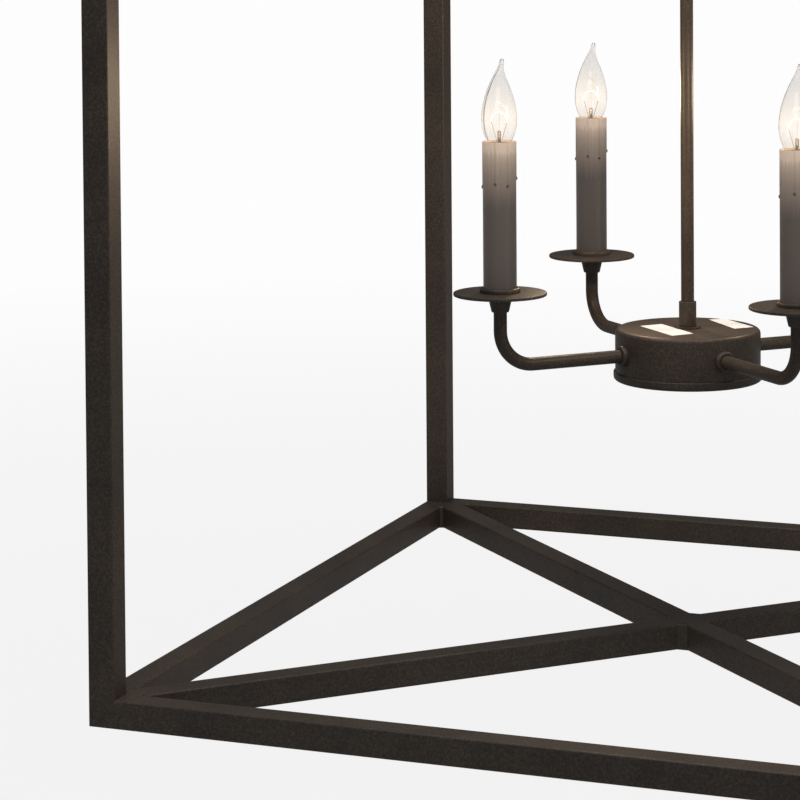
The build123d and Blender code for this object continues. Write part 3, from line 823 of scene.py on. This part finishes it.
class PENDANT_OT_hub(bpy.types.Operator):
    """Make the hub with its cover, nut and blank labels"""

    bl_idname = "pendant.hub"
    bl_label = "Hub"

    def execute(self, context):
        bronze = finish_of("cluster_coat")
        wall = 1.5 * MM
        bore = PIPE_R + 0.05 * MM
        drum = turned([
            (bore, HUB_TOP - wall), (bore, HUB_TOP), (HUB_R, HUB_TOP), (HUB_R, HUB_FLOOR),
            (HUB_R - wall, HUB_FLOOR), (HUB_R - wall, HUB_TOP - wall),
        ], {2: 4.6 * MM, 5: 3.1 * MM}, steps=128)
        piece("hub_drum", drum, "pendant", bronze, ["hub_body"])
        lip = HUB_R + 0.05 * MM
        dish = turned([
            (bore, COVER_LOW), (COVER_R, COVER_LOW), (COVER_R, COVER_TOP), (lip, COVER_TOP),
            (lip, HUB_FLOOR), (bore, HUB_FLOOR),
        ], {1: 3.6 * MM, 2: 0.9 * MM, 3: 0.5 * MM}, steps=128)
        piece("hub_dish", dish, "pendant", bronze, ["hub_cover"])
        nut_r = width("cover_nut") / 2
        nut_low = low("cover_nut").z
        cap = turned([
            (0, nut_low), (nut_r, nut_low), (nut_r, COVER_LOW), (PIPE_R, COVER_LOW), (PIPE_R, COVER_LOW - 3.5 * MM),
            (0, COVER_LOW - 3.5 * MM),
        ], {1: 3.0 * MM}, steps=64, closed=False)
        piece("cap_nut", cap, "pendant", bronze, ["cover_nut"])
        labels = {
            "blank_label_left": [(-47.2, -4.2), (-1.0, -52.0), (14.8, -33.0), (-30.3, 13.8)],
            "blank_label_right": [(6.7, 55.6), (44.5, 8.4), (60.1, 23.8), (19.4, 66.2)],
        }
        for name, corners in labels.items():
            piece(name, label_on_hub(corners), "pendant", finish_of("label_paper"))
        return {"FINISHED"}


# ---- arms ----

def arm_tube():
    """Bent tube along X: narrower plain end in the hub, straight run, quarter bend, short upright."""
    radius = 6.35 * MM
    bend = 34.0 * MM
    axis_z = low("arm_1").z + radius
    top = high("arm_1").z
    mesh = bmesh.new()
    start = HUB_R - 7.5 * MM
    place = Matrix.Translation((start, 0, axis_z)) @ Matrix.Rotation(pi / 2, 4, "Y")
    bmesh.ops.create_circle(mesh, cap_ends=True, segments=40, radius=PIPE_R, matrix=place)
    edges = mesh.edges[:]
    for reach, size in ((HUB_R - 1.2 * MM, PIPE_R), (HUB_R - 1.2 * MM, radius), (REACH - bend, radius)):
        grown = bmesh.ops.extrude_edge_only(mesh, edges=edges)["geom"]
        verts = [item for item in grown if isinstance(item, bmesh.types.BMVert)]
        edges = [item for item in grown if isinstance(item, bmesh.types.BMEdge)]
        edges = [line for line in edges if all(vert in verts for vert in line.verts)]
        for vert in verts:
            spoke = Vector((0, vert.co.y, vert.co.z - axis_z)).normalized() * size
            vert.co = Vector((reach, spoke.y, axis_z + spoke.z))
    turn = bmesh.ops.spin(
        mesh, geom=edges, cent=(REACH - bend, 0, axis_z + bend), axis=(0, -1, 0), angle=pi / 2, steps=18
    )
    edges = [item for item in turn["geom_last"] if isinstance(item, bmesh.types.BMEdge)]
    grown = bmesh.ops.extrude_edge_only(mesh, edges=edges)["geom"]
    verts = [item for item in grown if isinstance(item, bmesh.types.BMVert)]
    bmesh.ops.translate(mesh, vec=(0, 0, top - verts[0].co.z), verts=verts)
    last = [item for item in grown if isinstance(item, bmesh.types.BMEdge)]
    last = [line for line in last if all(vert in verts for vert in line.verts)]
    bmesh.ops.contextual_create(mesh, geom=last)
    return clean(mesh)


def arm_collar(sizes):
    """Rounded collar round the arm, along X."""
    radius = 6.35 * MM
    back, front = HUB_R - 1.4 * MM, HUB_R + 5.0 * MM
    corners = [(radius, back), (10.0 * MM, back), (10.0 * MM, front), (radius, front)]
    ring = turned(corners, {2: sizes.collar_round, 3: 0.7 * MM}, steps=56)
    axis_z = middle("arm_collars").z
    return moved(ring, Matrix.Translation((0, 0, axis_z)) @ Matrix.Rotation(pi / 2, 4, "Y"))


def about(turn):
    return Matrix.Rotation(turn, 4, "Z")


class PENDANT_OT_arms(bpy.types.Operator):
    """Make the bent arms and their collars"""

    bl_idname = "pendant.arms"
    bl_label = "Arms"

    def execute(self, context):
        sizes = context.scene.pendant_sizes
        bronze = finish_of("cluster_coat")
        for n in CANDLES:
            tube = moved(arm_tube(), about(ARM_TURNS[n]))
            piece(f"bent_arm_{n}", tube, "pendant", bronze, [f"arm_{n}"])
        collars = gathered([moved(arm_collar(sizes), about(ARM_TURNS[n])) for n in CANDLES])
        piece("rounded_collars", collars, "pendant", bronze, ["arm_collars"])
        return {"FINISHED"}


# ---- candles ----

def at_candles(make):
    """One solid on each candle's axis, as one mesh."""
    return gathered([shifted(make(), AXES[n]) for n in CANDLES])


def candle_cup():
    """Tapered cup with a soft foot."""
    foot_r, top_r, bore = 8.25 * MM, 12.0 * MM, 6.4 * MM
    corners = [(bore, CUP_FOOT), (foot_r, CUP_FOOT), (top_r, DISC_LOW), (bore, DISC_LOW)]
    return turned(corners, {1: 1.0 * MM}, steps=56)


def drip_disc(sizes):
    """Flat disc with a rounded rim."""
    radius = width("bobeches") / 2 - REACH * cos(pi / 4)
    corners = [(PIPE_R, DISC_LOW), (radius, DISC_LOW), (radius, DISC_TOP), (PIPE_R, DISC_TOP)]
    return turned(corners, {1: sizes.disc_round, 2: sizes.disc_round}, steps=96)


def seat_ring(sizes):
    """Rounded ring round the candle's foot."""
    radius = width("seat_rings") / 2 - REACH * cos(pi / 4)
    lip = 16.2 * MM
    floor = SLEEVE_FOOT - 0.02 * MM
    corners = [
        (PIPE_R, DISC_TOP), (radius, DISC_TOP), (radius, RING_TOP), (lip, RING_TOP), (lip, floor), (PIPE_R, floor),
    ]
    return turned(corners, {1: 0.4 * MM, 2: sizes.ring_round, 3: 0.6 * MM}, steps=80)


# Wax runs of a sleeve: angle round it in degrees, and how far each drop hangs below the rim.
WAX_RUNS = ((17, 35), (62, 42), (110, 37), (157, 45), (202, 43), (275, 39), (318, 41))


def candle_sleeve(sizes):
    """Card-thin sleeve whose wall carries wax runs that end in drops."""
    radius, wall = 15.9 * MM, 0.8 * MM
    waxed = 52.0 * MM
    rows = 110
    corners = [(radius - wall, SLEEVE_TOP), (radius - wall, SLEEVE_FOOT), (radius, SLEEVE_FOOT)]
    for part in range(1, 7):
        corners.append((radius, SLEEVE_FOOT + (SLEEVE_TOP - waxed - SLEEVE_FOOT) * part / 7))
    corners += [(radius, SLEEVE_TOP - waxed * (1 - row / rows)) for row in range(rows)]
    corners.append((radius, SLEEVE_TOP))
    mesh = turned(corners, steps=256)
    wax = mesh.verts.layers.float.new("wax")
    for vert in mesh.verts:
        around = atan2(vert.co.y, vert.co.x)
        reach = hypot(vert.co.x, vert.co.y)
        if reach < radius - wall / 2 or vert.co.z < SLEEVE_TOP - waxed:
            continue
        fall = SLEEVE_TOP - vert.co.z
        swell = 0.0
        for angle, length in WAX_RUNS:
            away = (around - radians(angle) + pi) % tau - pi
            side = away * radius
            drop_gap = hypot(side, (fall - length * MM) * 0.8) / (1.5 * MM)
            run_wide = (0.75 + 0.35 * cos(angle + fall * 190)) * MM
            line = 1 - min(1.0, abs(side) / (1.6 * run_wide))
            if fall < length * MM:
                swell = max(swell, sizes.run_height * line * line * (3 - 2 * line))
            bead = max(0.0, 1 - drop_gap * drop_gap)
            swell = max(swell, sizes.drop_height * bead ** 0.5)
        scale = 1 + swell / radius
        vert.co.x *= scale
        vert.co.y *= scale
        vert[wax] = swell / sizes.drop_height
    return clean(mesh)


class PENDANT_OT_candles(bpy.types.Operator):
    """Make the cups, drip discs, seat rings and sleeves"""

    bl_idname = "pendant.candles"
    bl_label = "Candles"

    def execute(self, context):
        sizes = context.scene.pendant_sizes
        bronze = finish_of("cluster_coat")
        piece("tapered_cups", at_candles(candle_cup), "pendant", bronze, ["candle_cups"])
        discs = at_candles(lambda: drip_disc(sizes))
        piece("drip_discs", discs, "pendant", bronze, ["bobeches"])
        rings = at_candles(lambda: seat_ring(sizes))
        piece("rounded_seat_rings", rings, "pendant", bronze, ["seat_rings"])
        for n in CANDLES:
            sleeve = shifted(candle_sleeve(sizes), AXES[n])
            piece(f"waxed_sleeve_{n}", sleeve, f"sleeve_{n}", finish_of("candle_coat_painted_glow"),
                  [f"candle_sleeve_{n}"], 50)
        return {"FINISHED"}


# ---- sockets ----

BULB_THREAD = 3.63 * MM


def socket_cup():
    """Insulating cup with its contact stud."""
    radius, wall = 14.8 * MM, 1.0 * MM
    foot, top = low("lamp_sockets").z, high("lamp_sockets").z
    floor = foot + 6.0 * MM
    corners = [
        (0, foot), (radius, foot), (radius, top), (radius - wall, top), (radius - wall, floor), (4.0 * MM, floor),
        (4.0 * MM, floor + 3.7 * MM), (0, floor + 3.7 * MM),
    ]
    return turned(corners, {1: 0.6 * MM, 2: 0.25 * MM, 6: 0.8 * MM}, closed=False, steps=56)


def screw_liner():
    """Rolled brass liner."""
    foot, top = low("socket_shells").z, high("socket_shells").z
    outer, inner = 13.72 * MM, 13.38 * MM
    rows = 44
    levels = [foot + (top - foot) * row / rows for row in range(rows + 1)]
    corners = [(outer, level) for level in levels] + [(inner, level) for level in reversed(levels)]
    mesh = turned(corners, steps=56)
    return thread_ridges(mesh, foot, top, BULB_THREAD, 0.25 * MM, 10 * MM)


def candle_post():
    """Lamp pipe that carries a socket, threaded at its top end."""
    foot, top = low("socket_posts").z, high("socket_posts").z
    return threaded_pipe(foot, top, top - 12 * MM, top, 20)


class PENDANT_OT_sockets(bpy.types.Operator):
    """Make the lamp sockets, liners, posts and locknuts"""

    bl_idname = "pendant.sockets"
    bl_label = "Sockets"

    def execute(self, context):
        zinc = finish_of("zinc_plate")
        piece("phenolic_sockets", at_candles(socket_cup), "pendant", finish_of("socket_phenolic"),
              ["lamp_sockets"])
        piece("rolled_liners", at_candles(screw_liner), "pendant", finish_of("brass_plate"),
              ["socket_shells"])
        piece("candle_posts", at_candles(candle_post), "pendant", zinc, ["socket_posts"])
        nuts = [hex_nut(14.0 * MM, HUB_TOP - 4.5 * MM, 3.0 * MM)]
        axis_z = middle("arm_collars").z
        lying = Matrix.Translation((0, 0, axis_z)) @ Matrix.Rotation(pi / 2, 4, "Y")
        for n in CANDLES:
            nuts.append(shifted(hex_nut(14.0 * MM, SLEEVE_FOOT, 3.0 * MM), AXES[n]))
            nuts.append(moved(hex_nut(14.0 * MM, HUB_R - 5.1 * MM, 3.0 * MM), about(ARM_TURNS[n]) @ lying))
        piece("pipe_locknuts", gathered(nuts), "pendant", zinc, ["locknuts"])
        return {"FINISHED"}


# ---- bulbs ----

# The bulb's outline above the sleeve's rim, in millimetres: height and radius.
FLAME = (
    (1.0, 12.1), (4.5, 13.75), (9.0, 15.4), (14.0, 16.4), (19.5, 16.85), (25.5, 16.75), (31.0, 16.2),
    (37.0, 15.0), (43.5, 13.2), (50.0, 10.95), (56.0, 8.55), (61.0, 6.3), (65.0, 4.6), (68.5, 3.4), (72.0, 2.6),
    (75.5, 2.2), (77.6, 1.5), (78.3, 0.0),
)
LEAN = ((52.0, 0.0), (61.0, 0.35), (67.0, 1.1), (73.0, 2.5), (79.0, 3.4))


def lean_at(height):
    """How far the bulb's tip leans along X at a height above the rim, in millimetres."""
    if height <= LEAN[0][0]:
        return 0.0
    for (z0, x0), (z1, x1) in zip(LEAN, LEAN[1:]):
        if height <= z1:
            part = (height - z0) / (z1 - z0)
            return x0 + (x1 - x0) * part
    return LEAN[-1][1]


def flame_glass(n, sizes):
    """Closed thin shell: flame outside, the same drawn in by the wall inside, neck below."""
    neck_foot = low(f"bulb_glass_{n}").z
    neck = [(12.0 * MM, neck_foot), (12.0 * MM, SLEEVE_TOP)]
    outside = [(0, neck_foot)] + neck
    outside += [(radius * MM, SLEEVE_TOP + height * MM) for height, radius in FLAME]
    wall = sizes.glass_wall
    inside = []
    for height, radius in reversed(FLAME[:-2]):
        inside.append((max(0.0, radius * MM - wall), SLEEVE_TOP + height * MM))
    inside[0] = (0.0, inside[0][1])
    flare = neck_foot + 2.0 * MM
    stem, press = 1.7 * MM, 2.6 * MM
    inside += [
        (12.0 * MM - wall, SLEEVE_TOP), (12.0 * MM - wall, flare), (press + 2 * MM, flare + 1.0 * MM),
        (press, SLEEVE_TOP - 6.0 * MM), (press, SLEEVE_TOP - 2.0 * MM), (stem, SLEEVE_TOP),
        (stem, SLEEVE_TOP + 9.4 * MM), (0, SLEEVE_TOP + 10.5 * MM),
    ]
    shell = turned(outside, steps=48, closed=False)
    hollow = turned(inside, steps=48, closed=False)
    bmesh.ops.reverse_faces(hollow, faces=hollow.faces)
    glass = gathered([shell, hollow])
    for vert in glass.verts:
        vert.co.x += lean_at((vert.co.z - SLEEVE_TOP) / MM) * MM
    return shifted(glass, AXES[n])


def wire_along(points, radius, steps=10):
    """Round wire through points, as a mesh."""
    mesh = bmesh.new()
    direction = (points[1] - points[0]).normalized()
    place = Matrix.Translation(points[0]) @ direction.to_track_quat("Z", "Y").to_matrix().to_4x4()
    bmesh.ops.create_circle(mesh, cap_ends=True, segments=steps, radius=radius, matrix=place)
    edges = mesh.edges[:]
    ring = mesh.verts[:]
    for index in range(1, len(points)):
        grown = bmesh.ops.extrude_edge_only(mesh, edges=edges)["geom"]
        ring = [item for item in grown if isinstance(item, bmesh.types.BMVert)]
        edges = [item for item in grown if isinstance(item, bmesh.types.BMEdge)]
        edges = [line for line in edges if all(vert in ring for vert in line.verts)]
        bmesh.ops.translate(mesh, vec=points[index] - points[index - 1], verts=ring)
        if index + 1 < len(points):
            onward = (points[index + 1] - points[index]).normalized()
            turn = direction.rotation_difference(onward)
            bmesh.ops.rotate(mesh, cent=points[index], matrix=turn.to_matrix(), verts=ring)
            direction = onward
    bmesh.ops.contextual_create(mesh, geom=edges)
    return clean(mesh)


def bulb_wires(n):
    """Two splayed lead wires and a fine support from the stem."""
    base = AXES[n] + UP * SLEEVE_TOP
    solids = []
    for side in (-1, 1):
        foot = base + Vector((side * 1.9, 0, -5.0)) * MM
        bend = base + Vector((side * 2.9, 0, 2.0)) * MM
        head = base + Vector((side * 8.0, 0, 18.5)) * MM
        hook = base + Vector((side * 8.3, 0.3, 19.6)) * MM
        solids.append(wire_along([foot, bend, head, hook], 0.3 * MM))
    foot = base + Vector((0, 0, 9.6)) * MM
    support_path = [foot, base + Vector((0.3, 0, 20.0)) * MM, base + Vector((0, 0.4, 27.3)) * MM]
    solids.append(wire_along(support_path, 0.12 * MM))
    return gathered(solids)


def filament_coil(n):
    """Fine coil arched between the lead wires."""
    base = AXES[n] + UP * SLEEVE_TOP
    turns, around = 34, 10
    points = []
    for step in range(turns * around + 1):
        part = step / (turns * around)
        angle = pi * (1 - part)
        centre = Vector((8.0 * cos(angle), 0, 18.5 + 9.0 * sin(angle)))
        outward = Vector((cos(angle), 0, sin(angle)))
        twist = tau * step / around
        offset = (outward * cos(twist) + Vector((0, 1, 0)) * sin(twist)) * 0.42
        points.append(base + (centre + offset) * MM)
    return wire_along(points, 0.11 * MM, 5)


def screw_base(n):
    """Bulb base: threaded shell, glass insulator and solder contact."""
    foot, rim = low(f"bulb_base_{n}").z, high(f"bulb_base_{n}").z
    shell_low = rim - 19.5 * MM
    radius = 13.0 * MM
    rows = 44
    levels = [shell_low + (rim - shell_low) * row / rows for row in range(rows + 1)]
    corners = [(0, foot), (4.75 * MM, foot), (6.0 * MM, foot + 1.5 * MM), (9.0 * MM, shell_low - 1.2 * MM)]
    corners += [(radius, level) for level in levels]
    corners += [(12.05 * MM, rim), (12.05 * MM, rim - 13.3 * MM), (0, rim - 13.3 * MM)]
    mesh = turned(corners, {1: 0.5 * MM}, steps=64, closed=False)
    threaded = thread_ridges(mesh, shell_low + 1.5 * MM, rim - 2.5 * MM, BULB_THREAD, 0.6 * MM, 12.5 * MM)
    return shifted(threaded, AXES[n])


class PENDANT_OT_bulbs(bpy.types.Operator):
    """Make the screw bases, glasses, wires and filaments"""

    bl_idname = "pendant.bulbs"
    bl_label = "Bulbs"

    def execute(self, context):
        sizes = context.scene.pendant_sizes
        for n in CANDLES:
            piece(f"screw_base_{n}", screw_base(n), f"base_{n}", finish_of("brass_plate"),
                  [f"bulb_base_{n}"])
            glass = piece(f"flame_glass_{n}", flame_glass(n, sizes), f"glass_{n}", finish_of("glass_with_painted_glow"),
                          [f"bulb_glass_{n}"], 60)
            glass.visible_shadow = False
            piece(f"lead_wires_{n}", bulb_wires(n), f"glass_{n}", finish_of("lead_wire"))
            piece(f"filament_{n}", filament_coil(n), f"glass_{n}", finish_of("filament_glow"))
        return {"FINISHED"}


# ---- stage ----

# Brightness of the white surroundings and floor where the camera sees them.
WHITE_LEVEL = 0.985


def softbox(name, place, aim, size, power):
    """Square area light aimed at a point."""
    data = bpy.data.lights.new(name, "AREA")
    data.size = size
    data.energy = power
    lamp = bpy.data.objects.new(name, data)
    bpy.context.scene.collection.objects.link(lamp)
    lamp.location = place
    lamp.rotation_euler = (Vector(aim) - Vector(place)).to_track_quat("-Z", "Y").to_euler()
    lamp.visible_camera = False
    return lamp


def photo_camera(lens):
    """Camera at the photograph's place, found by fitting the cage's edges."""
    data = bpy.data.cameras.new("photo_camera")
    data.sensor_width = 36.0
    data.lens = lens
    data.shift_x = -0.0746
    data.shift_y = -0.5147
    data.clip_end = 60.0
    camera = bpy.data.objects.new("photo_camera", data)
    bpy.context.scene.collection.objects.link(camera)
    right = Vector((0.9377983, 0.34712058, -0.00645376))
    down = Vector((0.00584641, -0.03437593, -0.99939187))
    ahead = Vector((-0.34713134, 0.93719027, -0.0342671))
    turn = Matrix((right, -down, -ahead)).transposed()
    camera.matrix_world = Matrix.Translation((0.719857, -2.579448, -0.824907)) @ turn.to_4x4()
    bpy.context.scene.camera = camera


def white_room(strength):
    """White to the camera and through glass, and dim to every other ray."""
    world = bpy.data.worlds.new("white_room")
    world.use_nodes = True
    bpy.context.scene.world = world
    tree = world.node_tree
    paths = add(tree, "ShaderNodeLightPath")
    seen = add(tree, "ShaderNodeMath", operation="MAXIMUM")
    tree.links.new(paths.outputs["Is Camera Ray"], seen.inputs[0])
    tree.links.new(paths.outputs["Is Transmission Ray"], seen.inputs[1])
    level = add(tree, "ShaderNodeMapRange", To_Min=strength, To_Max=WHITE_LEVEL)
    tree.links.new(seen.outputs[0], level.inputs["Value"])
    ground = tree.nodes["Background"]
    ground.inputs["Color"].default_value = (1, 1, 1, 1)
    tree.links.new(level.outputs["Result"], ground.inputs["Strength"])


def pale_floor(drop):
    """Floor that is white to the camera apart from the shadow it receives."""
    mesh = bmesh.new()
    bmesh.ops.create_circle(mesh, cap_ends=True, segments=64, radius=9.0)
    bmesh.ops.translate(mesh, vec=(0, 0, FRAME_LOW - drop), verts=mesh.verts)
    data = bpy.data.meshes.new("floor")
    mesh.to_mesh(data)
    mesh.free()
    floor = bpy.data.objects.new("floor", data)
    bpy.context.scene.collection.objects.link(floor)
    paint, tree, shader = new_finish("floor_paint")
    place = object_place(tree)
    tone = ramp(tree, grain(tree, place, 3.0), [(0.3, (0.68, 0.68, 0.68)), (0.7, (0.7, 0.7, 0.7))])
    tree.links.new(tone, shader.inputs["Base Color"])
    shader.inputs["Roughness"].default_value = 0.9
    shader.inputs["Specular IOR Level"].default_value = 0.1
    glow = add(tree, "ShaderNodeEmission", Strength=WHITE_LEVEL)
    far = add(tree, "ShaderNodeVectorMath", operation="LENGTH")
    tree.links.new(place, far.inputs[0])
    fade = add(tree, "ShaderNodeMapRange", From_Min=2.5, From_Max=7.0, To_Min=0.85, To_Max=1.0)
    tree.links.new(far.outputs["Value"], fade.inputs["Value"])
    distant = add(tree, "ShaderNodeMapRange", From_Min=2.5, From_Max=9.0, To_Min=0.0, To_Max=0.7)
    tree.links.new(far.outputs["Value"], distant.inputs["Value"])
    paths = add(tree, "ShaderNodeLightPath")
    seen = add(tree, "ShaderNodeMath", operation="MAXIMUM")
    tree.links.new(paths.outputs["Is Camera Ray"], seen.inputs[0])
    tree.links.new(paths.outputs["Is Transmission Ray"], seen.inputs[1])
    share = add(tree, "ShaderNodeMath", operation="MULTIPLY")
    tree.links.new(seen.outputs[0], share.inputs[0])
    tree.links.new(fade.outputs["Result"], share.inputs[1])
    either = add(tree, "ShaderNodeMath", operation="MAXIMUM")
    tree.links.new(share.outputs[0], either.inputs[0])
    tree.links.new(distant.outputs["Result"], either.inputs[1])
    blend = add(tree, "ShaderNodeMixShader")
    tree.links.new(either.outputs[0], blend.inputs["Fac"])
    tree.links.new(shader.outputs[0], blend.inputs[1])
    tree.links.new(glow.outputs[0], blend.inputs[2])
    tree.links.new(blend.outputs[0], tree.nodes["Material Output"].inputs["Surface"])
    floor.data.materials.append(paint)


def beside_the_lamps():
    """Pieces within a few centimetres of a bulb's lamp, which it would burn out in the picture."""
    near = bpy.data.collections.new("beside_the_lamps")
    for n in CANDLES:
        for kind in ("flame_glass", "lead_wires", "filament", "screw_base", "waxed_sleeve"):
            near.objects.link(bpy.data.objects[f"{kind}_{n}"])
    for member in near.collection_objects:
        member.light_linking.link_state = "EXCLUDE"
    return near


def bulb_light(n, power, colour, unlit):
    """Warm light inside a bulb, riding with its glass."""
    data = bpy.data.lights.new(f"bulb_light_{n}", "POINT")
    data.energy = power
    data.color = colour
    data.shadow_soft_size = 6.0 * MM
    lamp = bpy.data.objects.new(f"bulb_light_{n}", data)
    bpy.context.scene.collection.objects.link(lamp)
    lamp.location = AXES[n] + UP * (SLEEVE_TOP + 24.0 * MM)
    lamp.visible_camera = False
    lamp.visible_transmission = False
    lamp.light_linking.receiver_collection = unlit
    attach(lamp, f"glass_{n}")


class PENDANT_OT_stage(bpy.types.Operator):
    """Set the camera, floor, room and lamps"""

    bl_idname = "pendant.stage"
    bl_label = "Stage"

    def execute(self, context):
        stage = context.scene.pendant_stage
        photo_camera(stage.lens)
        white_room(stage.room_light)
        pale_floor(stage.floor_drop)
        aim = (0, 0, FRAME_LOW + 0.4)
        softbox("side_softbox", (2.9, -0.9, -0.7), aim, 1.1, stage.side_power)
        softbox("top_softbox", (0.1, -0.7, 1.3), (0, 0, FRAME_LOW), 2.4, stage.top_power)
        softbox("front_softbox", (0.6, -4.6, 0.9), aim, 2.6, stage.front_power)
        unlit = beside_the_lamps()
        for n in CANDLES:
            bulb_light(n, stage.bulb_power, (1.0, 0.74, 0.5), unlit)
        context.scene.view_settings.view_transform = "Standard"
        return {"FINISHED"}


# ---- sidebar and start ----

STEPS = (
    PENDANT_OT_finishes, PENDANT_OT_ceiling_fitting, PENDANT_OT_swivel, PENDANT_OT_rods, PENDANT_OT_cage_welds,
    PENDANT_OT_hub, PENDANT_OT_arms, PENDANT_OT_candles, PENDANT_OT_sockets, PENDANT_OT_bulbs, PENDANT_OT_stage,
)
GROUPS = {"pendant_sizes": PendantSizes, "pendant_colours": PendantColours, "pendant_stage": PendantStage}


class PENDANT_PT_sidebar(bpy.types.Panel):
    """Sizes, colours and steps of the pendant"""

    bl_idname = "PENDANT_PT_sidebar"
    bl_label = "Box Cage Pendant"
    bl_space_type = "VIEW_3D"
    bl_region_type = "UI"
    bl_category = "Pendant"

    def draw(self, context):
        for group in GROUPS:
            box = self.layout.box()
            values = getattr(context.scene, group)
            for key in values.bl_rna.properties.keys():
                if key not in ("rna_type", "name"):
                    box.prop(values, key)
        for step in STEPS:
            self.layout.operator(step.bl_idname)


def register():
    for made in (*GROUPS.values(), *STEPS, PENDANT_PT_sidebar):
        bpy.utils.register_class(made)
    for name, made in GROUPS.items():
        setattr(bpy.types.Scene, name, bpy.props.PointerProperty(type=made))


def unregister():
    for name in GROUPS:
        delattr(bpy.types.Scene, name)
    for made in reversed((*GROUPS.values(), *STEPS, PENDANT_PT_sidebar)):
        bpy.utils.unregister_class(made)


def main():
    register()
    for step in STEPS:
        family, action = step.bl_idname.split(".")
        getattr(getattr(bpy.ops, family), action)()


if __name__ == "__main__":
    main()
